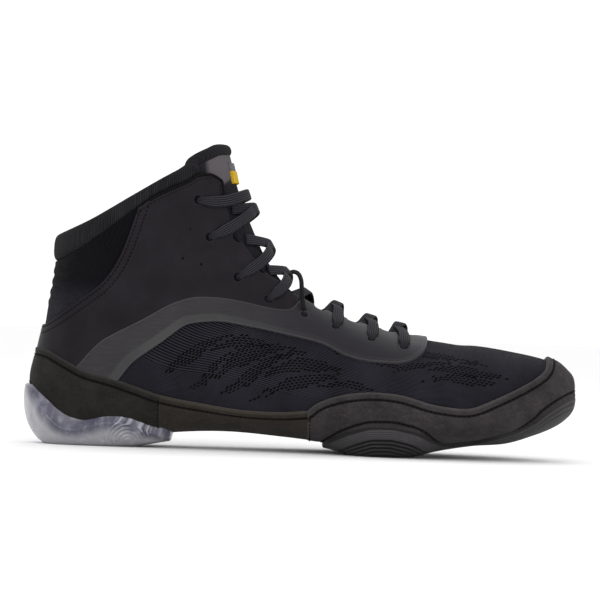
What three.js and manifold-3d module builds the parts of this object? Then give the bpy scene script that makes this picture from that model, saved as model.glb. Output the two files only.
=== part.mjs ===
// A left high-top wrestling shoe, in millimetres, standing on its sole:
// +X to the toe, +Y to the outer side, +Z up.
import * as THREE from "three";
import { mergeVertices } from "three/addons/utils/BufferGeometryUtils.js";
import Module from "manifold-3d";

const wasm = await Module();
wasm.setup();

// Driving sizes
const LENGTH = 288; // heel back to toe tip
const BALL_WIDTH = 99; // upper at the ball, under its panels
const INSTEP_HEIGHT = 80; // floor to the middle of the instep
const SHAFT_RISE = 81; // instep to the tip of the tongue
const HEEL_STACK = 11; // most rubber under the heel's back corner
const WALL = 2; // knit and lining of the upper
const OVERLAY = 1.2; // suede, synthetic and band
const GAP = 0.3; // clearance between neighbouring pieces
const CUFF_PAD = 5; // padding of the cuff inside the upper's face
const CUFF_PROUD = 1.4; // padding of the cuff outside it
const TONGUE_THICKNESS = 3.2;
const BINDING_THICKNESS = 6;
const BINDING_HEIGHT = 6.5;
const LABEL_THICKNESS = 0.8;
const INSOLE_THICKNESS = 3;
const RUBBER_PROUD = 1.6; // sole walls outside the upper's face
const RIB_PITCH = 1.9;
const RIB_GROOVE = 0.8;
const RIB_DEPTH = 0.8;
const RIB_COUNT = 5;
const RIB_STEPS = 6;
const RIB_REACH = 0.36; // ribs stay further out than this share of BALL_WIDTH
const EYELET_HOLE = 4;
const LACE_WIDTH = 6;
const LACE_THICKNESS = 1.6;
const LACE_STEPS = 4;
const LACE_LEAN = 0.26; // where a lace crosses the ridge, from its own eyelet row to the next
const LACE_EDGE = 0.022; // how far from the throat's edge a lace ends, in shares of a turn
const LACE_SINK = 0.49; // turn from which a lace sinks to its far end
const SCALLOP_RADIUS = 3.2;
const FIRST_SCALLOP = 2;
const LABEL_MARGIN = 3;
const LABEL_REACH = 0.045; // share of a turn to each side of the ridge
const INSIDE = -WALL - GAP; // where insole and tongue may reach, from the upper's face
const CUT = BALL_WIDTH; // half length of a cutter that passes through the whole shoe
const ROOF = 2.5; // height share above the whole shoe
const CELLAR = -0.5; // height share under the whole shoe

// Where pieces start and end along the rows of the last, and how far round they reach in shares of a turn
const UNDERNEATH = { from: 2.6, to: 16.6, reach: 0.1 };
const INSOLE = { from: 1.7, to: 17.3, reach: 0.145, roundEnd: 1.6, narrowing: 0.8 };
const TONGUE = { from: 8.2, full: 18, toeReach: 0.1, topReach: 0.15 };
const BINDING_FROM = 20;
const LABEL_ROWS = { from: 22, to: 26.5 };
const TONGUE_ROOM = { from: 17, reach: 0.008 };

// Fineness of the faceted surfaces
const RINGS = 21;
const AROUND = 16;
const NUDGE = 0.02; // step along rows, turns and laces for a slope

// The last as a bent tube of sections, from the toe round the heel to above the collar.
// x columns are shares of LENGTH; heights are shares of INSTEP_HEIGHT up to 1 and of SHAFT_RISE above it;
// medial, lateral and shift are shares of BALL_WIDTH, sole is a share of HEEL_STACK;
// widest is where the section is widest, and low and high are how square it is below and above that.
const COLUMNS = [
  "baseX", "baseHeight", "topX", "topHeight", "medial", "lateral", "shift", "widest", "low", "high", "sole",
];
const SECTIONS = [
  [0.993, 0.450, 0.993, 0.450, 0.000, 0.000, -0.091, 0.45, 2.60, 2.20, 0.00],
  [0.990, 0.369, 0.990, 0.541, 0.091, 0.091, -0.091, 0.45, 2.60, 2.20, 0.08],
  [0.977, 0.323, 0.979, 0.591, 0.172, 0.162, -0.086, 0.43, 2.80, 2.20, 0.18],
  [0.955, 0.273, 0.960, 0.644, 0.263, 0.247, -0.076, 0.42, 3.00, 2.20, 0.20],
  [0.920, 0.220, 0.927, 0.682, 0.343, 0.323, -0.066, 0.40, 3.20, 2.20, 0.20],
  [0.872, 0.169, 0.878, 0.713, 0.414, 0.399, -0.051, 0.38, 3.30, 2.20, 0.23],
  [0.812, 0.135, 0.819, 0.741, 0.465, 0.455, -0.030, 0.36, 3.40, 2.20, 0.15],
  [0.750, 0.100, 0.753, 0.756, 0.490, 0.490, -0.010, 0.35, 3.40, 2.15, 0.20],
  [0.688, 0.075, 0.688, 0.792, 0.490, 0.505, 0.000, 0.34, 3.40, 2.15, 0.45],
  [0.625, 0.074, 0.622, 0.850, 0.465, 0.510, 0.010, 0.33, 3.40, 2.10, 0.58],
  [0.556, 0.091, 0.559, 0.925, 0.414, 0.485, 0.020, 0.31, 3.30, 2.05, 0.24],
  [0.486, 0.113, 0.505, 1.015, 0.364, 0.444, 0.020, 0.30, 3.20, 2.00, 0.18],
  [0.410, 0.134, 0.470, 1.115, 0.333, 0.394, 0.010, 0.30, 3.10, 2.00, 0.16],
  [0.337, 0.139, 0.444, 1.225, 0.323, 0.364, 0.005, 0.31, 3.10, 2.00, 0.16],
  [0.264, 0.120, 0.429, 1.309, 0.318, 0.348, 0.000, 0.32, 3.10, 2.00, 0.42],
  [0.194, 0.091, 0.418, 1.386, 0.323, 0.343, 0.000, 0.33, 3.10, 2.05, 0.62],
  [0.125, 0.090, 0.409, 1.457, 0.328, 0.338, 0.000, 0.35, 3.00, 2.05, 0.82],
  [0.069, 0.119, 0.401, 1.518, 0.328, 0.333, 0.000, 0.37, 2.70, 2.10, 1.00],
  [0.033, 0.188, 0.394, 1.568, 0.328, 0.333, 0.000, 0.39, 2.40, 2.15, 0.77],
  [0.012, 0.300, 0.389, 1.617, 0.328, 0.333, 0.000, 0.40, 2.20, 2.20, 0.41],
  [0.009, 0.450, 0.384, 1.667, 0.328, 0.333, 0.000, 0.41, 2.15, 2.20, 0.16],
  [0.017, 0.600, 0.379, 1.716, 0.328, 0.333, 0.000, 0.42, 2.10, 2.20, 0.16],
  [0.026, 0.775, 0.374, 1.772, 0.328, 0.333, 0.000, 0.44, 2.10, 2.20, 0.16],
  [0.033, 0.950, 0.370, 1.831, 0.333, 0.338, 0.000, 0.45, 2.10, 2.20, 0.16],
  [0.040, 1.123, 0.365, 1.896, 0.338, 0.343, 0.000, 0.46, 2.10, 2.20, 0.16],
  [0.043, 1.284, 0.359, 1.969, 0.338, 0.343, 0.000, 0.47, 2.10, 2.20, 0.16],
  [0.043, 1.444, 0.352, 2.049, 0.338, 0.343, 0.000, 0.48, 2.10, 2.20, 0.16],
  [0.043, 1.605, 0.345, 2.136, 0.338, 0.343, 0.000, 0.48, 2.10, 2.20, 0.16],
];
const LAST_ROW = SECTIONS.length - 1;

// Seam and edge lines as the side view shows them: share of LENGTH, share of height
const COLLAR_LINE = [
  [0.000, 1.350], [0.042, 1.362], [0.100, 1.454], [0.143, 1.544], [0.186, 1.642], [0.258, 1.801],
  [0.299, 1.870], [0.420, 1.870],
];
const CUFF_LINE = [
  [0.000, 1.175], [0.036, 1.191], [0.076, 1.255], [0.121, 1.359], [0.188, 1.543], [0.228, 1.641],
  [0.283, 1.738], [0.310, 1.788], [0.420, 1.810],
];
const THROAT_CORNER = [
  [0.300, 1.812], [0.326, 1.790], [0.345, 1.750], [0.357, 1.690], [0.363, 1.605], [0.420, 1.500],
];
// Half width of the throat opening at a row, in shares of a turn
const THROAT_REACH = [
  [7.55, 0.006], [7.8, 0.030], [8.8, 0.044], [12, 0.056],
  [13, 0.076], [16, 0.084], [22, 0.094], [27, 0.100],
];
const TONGUE_TOP_LINE = [
  [0.200, 1.640], [0.258, 1.801], [0.286, 1.902], [0.315, 1.964], [0.330, 1.990], [0.360, 1.990],
];
const ANKLE_REAR_LINE = [
  [0.203, 1.644], [0.193, 1.535], [0.183, 1.419], [0.172, 1.303], [0.160, 1.204], [0.147, 1.129],
  [0.129, 1.053], [0.102, 0.976], [0.071, 0.889], [0.040, 0.811], [0.023, 0.784], [-0.020, 0.763],
];
const BAND_TOP_LINE = [
  [0.095, 0.529], [0.115, 0.614], [0.133, 0.682], [0.155, 0.735], [0.209, 0.841], [0.259, 0.947],
  [0.299, 0.996], [0.345, 1.002], [0.391, 0.980], [0.438, 0.948], [0.461, 0.940], [0.478, 0.950],
  [0.500, 1.040],
];
const BAND_LOW_LINE = [
  [0.170, 0.439], [0.189, 0.533], [0.207, 0.593], [0.243, 0.688], [0.283, 0.801], [0.301, 0.825],
  [0.329, 0.840], [0.351, 0.843], [0.374, 0.834], [0.458, 0.785], [0.532, 0.729], [0.578, 0.656],
  [0.624, 0.622], [0.680, 0.629], [0.708, 0.665], [0.724, 0.733], [0.730, 0.860],
];
const HEEL_TOP_LINE = [
  [-0.020, 0.645], [0.020, 0.630], [0.037, 0.620], [0.051, 0.597], [0.093, 0.520], [0.112, 0.490],
  [0.153, 0.454], [0.190, 0.414], [0.237, 0.357], [0.251, 0.345],
];
const ARCH_TOP_LINE = [
  [0.251, 0.345], [0.284, 0.322], [0.316, 0.305], [0.389, 0.267], [0.463, 0.264], [0.512, 0.284],
];
const FOREFOOT_TOP_LINE = [
  [0.512, 0.284], [0.528, 0.333], [0.553, 0.375], [0.590, 0.410], [0.636, 0.425], [0.682, 0.411],
  [0.737, 0.359], [0.783, 0.340], [0.811, 0.349], [0.847, 0.406], [0.901, 0.506], [0.935, 0.590],
  [0.945, 0.670], [0.948, 0.760],
];
const WAVE_LINE = [
  [-0.020, 0.400], [0.003, 0.376], [0.031, 0.250], [0.041, 0.196], [0.060, 0.133], [0.077, 0.112],
  [0.097, 0.108], [0.115, 0.129], [0.133, 0.152], [0.152, 0.164], [0.171, 0.166], [0.189, 0.157],
  [0.207, 0.133], [0.226, 0.105], [0.244, 0.090], [0.263, 0.065], [0.268, 0.020],
];
const LOBE_LINE = [
  [0.535, 0.020], [0.547, 0.057], [0.556, 0.085], [0.583, 0.134], [0.611, 0.171], [0.629, 0.187],
  [0.666, 0.191], [0.684, 0.180], [0.703, 0.166], [0.721, 0.142], [0.740, 0.108], [0.765, 0.086],
  [0.790, 0.098], [0.813, 0.108], [0.831, 0.122], [0.850, 0.142], [0.886, 0.187], [0.922, 0.258],
  [0.940, 0.313], [0.976, 0.397], [1.010, 0.440],
];
const BALL_POINTS = 12; // how many points of that line belong to the lobe at the ball
const PAST_TOE = [1.05, 0.9]; // closes the forefoot panel's outline in front of the toe
const HEEL_SEAM = 0.249; // between the heel and the arch panels
const FOREFOOT_SEAM = 0.512; // between the arch and the forefoot panels
const EYELETS = [
  [0.300, 1.623], [0.323, 1.385], [0.377, 1.132], [0.434, 0.995], [0.500, 0.899], [0.558, 0.824],
  [0.623, 0.749], [0.683, 0.709],
];
const LOOSE_ROW = 4; // the eyelet, counted from 0 at the top, whose medial lace stands slack
const LOOSE_RISE = 7; // how far the slack bar stands off the upper's face
const LOOSE_SIZE = 2.4; // its thickness, where it is folded on edge
// Its route: share of the way across, share of its rise
const LOOSE_ROUTE = [
  [0.03, 0.42], [0.14, 0.62], [0.28, 0.86], [0.42, 1.00],
  [0.56, 1.00], [0.70, 0.94], [0.84, 0.90], [0.96, 0.90],
];

const COLOURS = {
  mesh: { color: 0x1b1b20, roughness: 0.95 },
  knit: { color: 0x232325, roughness: 0.95 },
  suede: { color: 0x2a2826, roughness: 0.9 },
  synthetic: { color: 0x241f26, roughness: 0.55 },
  band: { color: 0x4a4848, roughness: 0.5 },
  lace: { color: 0x17171a, roughness: 0.85 },
  label: { color: 0x55505a, roughness: 0.8 },
  lining: { color: 0x151517, roughness: 0.95 },
  heelRubber: { color: 0xb4b6cc, roughness: 0.25, transparent: true, opacity: 0.7 },
  rubber: { color: 0x3a3a3c, roughness: 0.7 },
};

function heightAt(share) {
  return Math.min(share, 1) * INSTEP_HEIGHT + Math.max(share - 1, 0) * SHAFT_RISE;
}

function pointAt([x, height]) {
  return new THREE.Vector2(x * LENGTH, heightAt(height));
}

// A cubic through the rows, so that each section runs smoothly into the next
function cubic(before, from, to, after, t) {
  const slopeFrom = (to - before) / 2;
  const slopeTo = (after - from) / 2;
  const a = 2 * (from - to) + slopeFrom + slopeTo;
  const b = 3 * (to - from) - 2 * slopeFrom - slopeTo;
  return ((a * t + b) * t + slopeFrom) * t + from;
}

function sectionAt(row) {
  const from = Math.min(Math.max(Math.floor(row), 0), LAST_ROW - 1);
  const section = {};
  COLUMNS.forEach((name, column) => {
    const value = (index) => SECTIONS[Math.min(Math.max(index, 0), LAST_ROW)][column];
    section[name] = cubic(value(from - 1), value(from), value(from + 1), value(from + 2), row - from);
  });
  return section;
}

function power(value, exponent) {
  return Math.sign(value) * Math.abs(value) ** exponent;
}

// The point of the last at a row, with turn 0 at the base, 0.25 on the medial side and 0.5 at the top.
// A drop adds the sole's stack below the widest place of the section.
function lastPoint(row, turn, drop) {
  const s = sectionAt(row);
  const base = pointAt([s.baseX, s.baseHeight]);
  const top = pointAt([s.topX, s.topHeight]);
  const span = top.clone().sub(base);
  const reach = -Math.cos(turn * 2 * Math.PI);
  const side = Math.sin(turn * 2 * Math.PI);
  const square = reach < 0 ? s.low : s.high;
  const along = power(reach, 2 / square);
  const out = Math.abs(side) ** (2 / square);
  const lowReach = s.widest * span.length() + drop * s.sole * HEEL_STACK;
  const highReach = (1 - s.widest) * span.length();
  const rise = s.widest * span.length() + (reach < 0 ? lowReach : highReach) * along;
  const place = base.addScaledVector(span.normalize(), rise);
  const width = (side > 0 ? -s.medial : s.lateral) * BALL_WIDTH;
  return new THREE.Vector3(place.x, s.shift * BALL_WIDTH + width * out, place.y);
}

function lastNormal(row, turn) {
  const near = Math.max(row, 2 * NUDGE);
  const further = Math.min(near + NUDGE, LAST_ROW);
  const alongRows = lastPoint(further, turn, 0).sub(lastPoint(near - NUDGE, turn, 0));
  const aroundRing = lastPoint(near, turn + NUDGE / 4, 0).sub(lastPoint(near, turn - NUDGE / 4, 0));
  return aroundRing.cross(alongRows).normalize();
}

// A point off the last's face, outwards by offset
function formPoint(row, turn, offset = 0, drop = 0) {
  const normal = row < NUDGE ? new THREE.Vector3(1, 0, 0) : lastNormal(row, turn);
  return lastPoint(row, turn, drop).addScaledVector(normal, offset);
}

// Solids
function solidOf(geometry) {
  const bare = geometry.clone();
  bare.deleteAttribute("normal");
  bare.deleteAttribute("uv");
  const merged = mergeVertices(bare, 1e-4);
  return new wasm.Manifold(new wasm.Mesh({
    numProp: 3,
    vertProperties: merged.attributes.position.array,
    triVerts: new Uint32Array(merged.index.array),
  }));
}

// The whole last as one closed body, swelled by offset, with the sole's stack where drop is 1
function lastSolid(offset, drop = 0) {
  const points = [];
  const index = [];
  const ringStart = (ring) => 1 + (ring - 1) * AROUND;
  points.push(...formPoint(0, 0, offset).toArray());
  for (let ring = 1; ring < RINGS; ring++) {
    for (let step = 0; step < AROUND; step++) {
      const row = (ring / (RINGS - 1)) * LAST_ROW;
      points.push(...formPoint(row, step / AROUND, offset, drop).toArray());
    }
  }
  for (let step = 0; step < AROUND; step++) {
    const next = (step + 1) % AROUND;
    index.push(0, ringStart(1) + next, ringStart(1) + step);
    for (let ring = 1; ring < RINGS - 1; ring++) {
      const a = ringStart(ring) + step;
      const b = ringStart(ring) + next;
      const c = ringStart(ring + 1) + step;
      const d = ringStart(ring + 1) + next;
      index.push(a, b, c, b, d, c);
    }
  }
  const rim = ringStart(RINGS - 1);
  const crown = points.length / 3;
  points.push(...centreOf(points, rim, AROUND));
  for (let step = 0; step < AROUND; step++) {
    index.push(rim + step, rim + (step + 1) % AROUND, crown);
  }
  const geometry = new THREE.BufferGeometry();
  geometry.setAttribute("position", new THREE.Float32BufferAttribute(points, 3));
  geometry.setIndex(index);
  return solidOf(geometry);
}

function centreOf(points, first, count) {
  const sum = [0, 0, 0];
  for (let i = first; i < first + count; i++) {
    for (let axis = 0; axis < 3; axis++) sum[axis] += points[3 * i + axis] / count;
  }
  return sum;
}

function shell(inner, outer) {
  return lastSolid(outer).subtract(lastSolid(inner));
}

// A plate that follows the last between two rows, between two offsets, as far round as reach(row) allows
function plate(middle, reach, fromRow, toRow, inner, outer, acrossSteps, alongSteps) {
  const geometry = new THREE.BoxGeometry(1, 1, 1, acrossSteps, alongSteps, 1);
  const position = geometry.attributes.position;
  for (let i = 0; i < position.count; i++) {
    const row = fromRow + (position.getY(i) + 0.5) * (toRow - fromRow);
    const turn = middle + 2 * position.getX(i) * reach(row);
    const offset = position.getZ(i) > 0 ? outer : inner;
    const place = formPoint(row, turn, offset);
    position.setXYZ(i, place.x, place.y, place.z);
  }
  return solidOf(geometry);
}

// A cutter through the whole width, from an outline in the side view
function sideCutter(points) {
  const shape = new THREE.Shape(points);
  const geometry = new THREE.ExtrudeGeometry(shape, { depth: 2 * CUT, bevelEnabled: false });
  geometry.rotateX(Math.PI / 2);
  geometry.translate(0, CUT, 0);
  return solidOf(geometry);
}

// The outline of all that lies above a line, moved up by rise
function above(line, rise = 0) {
  const points = line.map(pointAt).map((p) => new THREE.Vector2(p.x, p.y + rise));
  const roof = heightAt(ROOF);
  points.push(new THREE.Vector2(points.at(-1).x, roof));
  points.push(new THREE.Vector2(points[0].x, roof));
  return sideCutter(points);
}

// The outline of all that lies below a line, moved up by rise
function below(line, rise = 0) {
  const points = line.map(pointAt).map((p) => new THREE.Vector2(p.x, p.y + rise));
  const cellar = heightAt(CELLAR);
  points.push(new THREE.Vector2(points.at(-1).x, cellar));
  points.push(new THREE.Vector2(points[0].x, cellar));
  return sideCutter(points);
}

function slice(fromX, toX) {
  const low = heightAt(CELLAR);
  const high = heightAt(ROOF);
  const corners = [[fromX, low], [toX, low], [toX, high], [fromX, high]];
  return sideCutter(corners.map(([x, z]) => new THREE.Vector2(x, z)));
}

// The row and turn whose face is seen at a place of the side view, on the medial side
function findOnLast(target) {
  let best = { row: LAST_ROW / 2, turn: 0.3, miss: Infinity };
  let stepRow = LAST_ROW / 2;
  let stepTurn = 0.14;
  const goal = pointAt(target);
  for (let round = 0; round < 9; round++) {
    const centre = { ...best };
    for (let i = -6; i <= 6; i++) {
      for (let j = -6; j <= 6; j++) {
        const row = Math.min(Math.max(centre.row + (i / 6) * stepRow, 0.1), LAST_ROW);
        const turn = Math.min(Math.max(centre.turn + (j / 6) * stepTurn, 0.2), 0.5);
        const p = lastPoint(row, turn, 0);
        const miss = Math.hypot(p.x - goal.x, p.z - goal.y);
        if (miss < best.miss) best = { row, turn, miss };
      }
    }
    stepRow /= 3;
    stepTurn /= 3;
  }
  return best;
}

const eyeletPlaces = EYELETS.map(findOnLast);

function eyeletCutters() {
  const cutters = [];
  for (const place of eyeletPlaces) {
    for (const turn of [place.turn, 1 - place.turn]) {
      const centre = formPoint(place.row, turn);
      const normal = lastNormal(place.row, turn);
      const drill = new THREE.CylinderGeometry(EYELET_HOLE / 2, EYELET_HOLE / 2, 6 * WALL, 6);
      drill.applyQuaternion(new THREE.Quaternion().setFromUnitVectors(new THREE.Vector3(0, 1, 0), normal));
      drill.translate(centre.x, centre.y, centre.z);
      cutters.push(solidOf(drill));
    }
  }
  return cutters;
}

function between(table, key) {
  const next = Math.max(table.findIndex((entry) => entry[0] >= key), 1);
  const [fromKey, from] = table[next - 1];
  const [toKey, to] = table[next];
  return from + (to - from) * Math.min(Math.max((key - fromKey) / (toKey - fromKey), 0), 1);
}

const throatReach = (row) => between(THROAT_REACH, row);

// Half round notches in the overlay's throat edge, between each two eyelets
function scallopCutters() {
  const cutters = [];
  for (let i = FIRST_SCALLOP; i < eyeletPlaces.length; i++) {
    const row = (eyeletPlaces[i - 1].row + eyeletPlaces[i].row) / 2;
    for (const side of [-1, 1]) {
      const centre = formPoint(row, 0.5 + side * throatReach(row));
      const notch = new THREE.CylinderGeometry(SCALLOP_RADIUS, SCALLOP_RADIUS, 4 * WALL, 6);
      const normal = lastNormal(row, 0.5 + side * throatReach(row));
      notch.applyQuaternion(new THREE.Quaternion().setFromUnitVectors(new THREE.Vector3(0, 1, 0), normal));
      notch.translate(centre.x, centre.y, centre.z);
      cutters.push(solidOf(notch));
    }
  }
  return cutters;
}

function throatSolid() {
  const opening = plate(0.5, throatReach, THROAT_REACH[0][0], LAST_ROW, -4 * CUFF_PAD, 2 * CUFF_PAD, 2, 20);
  const corner = [...THROAT_CORNER, [0.6, ROOF], [0.3, ROOF]];
  return opening.add(sideCutter(corner.map(pointAt)));
}

const throatCutter = throatSolid();
const holes = eyeletCutters();
const notches = scallopCutters();

function cutAll(solid, cutters) {
  return cutters.reduce((left, cutter) => left.subtract(cutter), solid);
}

// Pieces of the upper
function upper() {
  const { from, to, reach } = UNDERNEATH;
  const underneath = plate(0, () => reach, from, to, -4 * WALL, 3 * WALL, 4, 12);
  const hollow = shell(-WALL, 0).subtract(above(CUFF_LINE, -GAP));
  return cutAll(hollow.subtract(throatCutter).subtract(underneath), holes);
}

function insole() {
  const { from, to } = INSOLE;
  const reach = (row) => {
    const fromEnd = Math.min(row - from, to - row);
    const inward = Math.max(1 - fromEnd / INSOLE.roundEnd, 0);
    return INSOLE.reach * Math.sqrt(1 - INSOLE.narrowing * inward * inward);
  };
  return plate(0, reach, from, to, INSIDE - INSOLE_THICKNESS, 0, 4, 12).intersect(lastSolid(INSIDE));
}

function tongueReach(row) {
  const share = Math.min((row - TONGUE.from) / (TONGUE.full - TONGUE.from), 1);
  return THREE.MathUtils.lerp(TONGUE.toeReach, TONGUE.topReach, share);
}

function tongue() {
  const bottom = INSIDE - TONGUE_THICKNESS;
  const body = plate(0.5, tongueReach, TONGUE.from, LAST_ROW, bottom, 0, 6, 14);
  return body.intersect(lastSolid(INSIDE)).subtract(above(TONGUE_TOP_LINE, -BINDING_HEIGHT));
}

function tongueBinding() {
  const swell = (BINDING_THICKNESS - TONGUE_THICKNESS) / 2;
  const bottom = INSIDE - TONGUE_THICKNESS - swell;
  const body = plate(0.5, tongueReach, BINDING_FROM, LAST_ROW, bottom, INSIDE + swell, 10, 6);
  const edge = body.intersect(above(TONGUE_TOP_LINE, GAP - BINDING_HEIGHT)).subtract(above(TONGUE_TOP_LINE));
  return edge.subtract(below(COLLAR_LINE, GAP).subtract(lastSolid(INSIDE)));
}

function tongueLabel() {
  const base = INSIDE + GAP;
  const { from, to } = LABEL_ROWS;
  const patch = plate(0.5, () => LABEL_REACH, from, to, INSIDE, base + LABEL_THICKNESS, 4, 4);
  const body = patch.subtract(lastSolid(base));
  return body.subtract(above(TONGUE_TOP_LINE, -BINDING_HEIGHT - LABEL_MARGIN));
}

function collarCuff() {
  const ring = shell(-WALL - CUFF_PAD, CUFF_PROUD);
  const reach = (row) => tongueReach(row) + TONGUE_ROOM.reach;
  const tongueRoom = plate(0.5, reach, TONGUE_ROOM.from, LAST_ROW, -WALL - 3 * CUFF_PAD, -WALL, 10, 8);
  const cuff = ring.intersect(above(CUFF_LINE)).subtract(above(COLLAR_LINE)).subtract(throatCutter);
  return cuff.subtract(tongueRoom);
}

// Overlays, all one thickness, cut from the same shell by the seam lines
const overlayShell = shell(GAP, GAP + OVERLAY);

function ankleOverlay() {
  const rear = sideCutter([...ANKLE_REAR_LINE.map(pointAt), pointAt([-0.02, ROOF]), pointAt([0.2, ROOF])]);
  const bandAndBelow = below([[-0.02, 0.4], ...BAND_TOP_LINE, [0.51, 1.1]], GAP);
  const piece = overlayShell.subtract(rear).subtract(above(CUFF_LINE, -GAP)).subtract(throatCutter);
  const trimmed = piece.subtract(bandAndBelow).subtract(below(HEEL_TOP_LINE, GAP));
  return cutAll(cutAll(trimmed.subtract(slice(pointAt([0.49, 0]).x, 2 * LENGTH)), holes), notches);
}

function eyestayBand() {
  const outline = sideCutter([...BAND_TOP_LINE.map(pointAt), pointAt([0.5, 2.4]), pointAt([0.73, 2.4]),
    ...[...BAND_LOW_LINE].reverse().map(pointAt), pointAt([0.15, 0.3]), pointAt([0.05, 0.3])]);
  const strip = overlayShell.intersect(outline).subtract(throatCutter);
  const trimmed = strip.subtract(below([...HEEL_TOP_LINE, ...ARCH_TOP_LINE.slice(1)], GAP));
  return cutAll(cutAll(trimmed, holes), notches);
}

const heelFront = pointAt([HEEL_SEAM, 0]).x;
const foreBack = pointAt([FOREFOOT_SEAM, 0]).x;
const heelZone = below(WAVE_LINE);
const foreZone = below(LOBE_LINE);
const heelClear = below(WAVE_LINE, GAP);
const foreClear = below(LOBE_LINE, GAP);

function heelPanel() {
  const piece = overlayShell.intersect(below(HEEL_TOP_LINE)).intersect(slice(-LENGTH, heelFront));
  return piece.subtract(heelClear);
}

function archPanel() {
  const piece = overlayShell.intersect(below(ARCH_TOP_LINE)).intersect(slice(heelFront + GAP, foreBack));
  return piece.subtract(heelClear).subtract(foreClear);
}

function forefootPanel() {
  const piece = overlayShell.intersect(below([...FOREFOOT_TOP_LINE, PAST_TOE]));
  return piece.intersect(slice(foreBack + GAP, 2 * LENGTH)).subtract(foreClear);
}

// Soles: the swelled last with its stack, less the last, flattened on the floor
const floorCutter = below([[-1, 0], [2, 0]]);
const soleShell = lastSolid(RUBBER_PROUD, 1).subtract(lastSolid(GAP)).subtract(floorCutter);

function heelUnit() {
  return soleShell.intersect(heelZone);
}

function ribCutters() {
  const arc = new THREE.SplineCurve(LOBE_LINE.slice(0, BALL_POINTS).map(pointAt)).getSpacedPoints(RIB_STEPS);
  const middle = new THREE.BoxGeometry(2 * LENGTH, 2 * RIB_REACH * BALL_WIDTH, LENGTH);
  const keep = lastSolid(RUBBER_PROUD - RIB_DEPTH, 1).add(solidOf(middle));
  const cutters = [];
  for (let rib = 1; rib <= RIB_COUNT; rib++) {
    const sink = (rib + 2) * RIB_PITCH;
    const low = arc.map((p) => new THREE.Vector2(p.x, p.y - sink - RIB_GROOVE));
    const high = arc.map((p) => new THREE.Vector2(p.x, p.y - sink));
    cutters.push(sideCutter([...high, ...low.reverse()]).subtract(keep));
  }
  return cutters;
}

function forefootOutsole() {
  return cutAll(soleShell.intersect(foreZone), ribCutters());
}

// Laces: each leaves its eyelet, crosses the ridge of the tongue and dips under the far throat edge
function footOnRidge(place) {
  const eyelet = lastPoint(place.row, place.turn, 0);
  let best = { row: 0, miss: Infinity };
  for (let row = THROAT_REACH[0][0]; row <= LAST_ROW; row += 0.1) {
    const ridge = lastPoint(row, 0.5, 0);
    const miss = Math.hypot(ridge.x - eyelet.x, ridge.z - eyelet.z);
    if (miss < best.miss) best = { row, miss };
  }
  return best.row;
}

// Row of a lace at a turn, by the parabola through its eyelet, the ridge and the far eyelet
function laceRow(from, ridgeRow, to, turn) {
  const a = from.turn;
  const b = 0.5;
  const c = 1 - to.turn;
  const first = from.row * ((turn - b) * (turn - c)) / ((a - b) * (a - c));
  const second = ridgeRow * ((turn - a) * (turn - c)) / ((b - a) * (b - c));
  const third = to.row * ((turn - a) * (turn - b)) / ((c - a) * (c - b));
  return first + second + third;
}

const laceLift = GAP + OVERLAY + GAP + LACE_THICKNESS / 2;
const laceDip = INSIDE + GAP + LACE_THICKNESS / 2;

function lacePlace(from, to, endTurn, mirror, endLift, share, lift) {
  const ridgeRow = THREE.MathUtils.lerp(footOnRidge(from), footOnRidge(to), LACE_LEAN);
  const turn = from.turn + share * (endTurn - from.turn);
  const row = laceRow(from, ridgeRow, to, turn);
  const sink = THREE.MathUtils.smoothstep(turn, LACE_SINK, Math.max(endTurn, 0.5));
  return formPoint(row, mirror ? 1 - turn : turn, laceLift + (endLift - laceLift) * sink + lift);
}

// A flat strip swept along place(share, lift), the middle line and its height above it
function laceStrip(place) {
  const geometry = new THREE.BoxGeometry(1, LACE_WIDTH, LACE_THICKNESS, LACE_STEPS, 1, 1);
  const position = geometry.attributes.position;
  for (let i = 0; i < position.count; i++) {
    const share = position.getX(i) + 0.5;
    const ahead = place(share + NUDGE, 0).sub(place(share - NUDGE, 0)).normalize();
    const up = place(share, 1).sub(place(share, 0)).normalize();
    const across = up.clone().cross(ahead).normalize();
    const point = place(share, position.getZ(i)).addScaledVector(across, position.getY(i));
    position.setXYZ(i, point.x, point.y, point.z);
  }
  return solidOf(geometry);
}

function clearOfOverlay(solid) {
  const overlay = lastSolid(GAP + OVERLAY + GAP / 2).subtract(throatCutter);
  return solid.subtract(overlay).subtract(lastSolid(INSIDE + GAP / 2));
}

// The crossing that leaves eyelet row index on both sides for the row above.
// Row 0 has one bar from side to side.
function laceCrossing(index) {
  const from = eyeletPlaces[index];
  if (index === 0) {
    const ridgeRow = THREE.MathUtils.lerp(footOnRidge(from), footOnRidge(eyeletPlaces[1]), LACE_LEAN);
    return clearOfOverlay(laceStrip((share, lift) => {
      const turn = from.turn + share * (1 - 2 * from.turn);
      return formPoint(laceRow(from, ridgeRow, from, turn), turn, laceLift + lift);
    }));
  }
  const to = eyeletPlaces[index - 1];
  const endTurn = 0.5 + throatReach(to.row) - LACE_EDGE;
  const strip = (mirror) => laceStrip((share, lift) => {
    return lacePlace(from, to, endTurn, mirror, laceDip, share, lift);
  });
  return clearOfOverlay(index === LOOSE_ROW ? strip(true) : strip(false).add(strip(true)));
}

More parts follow.
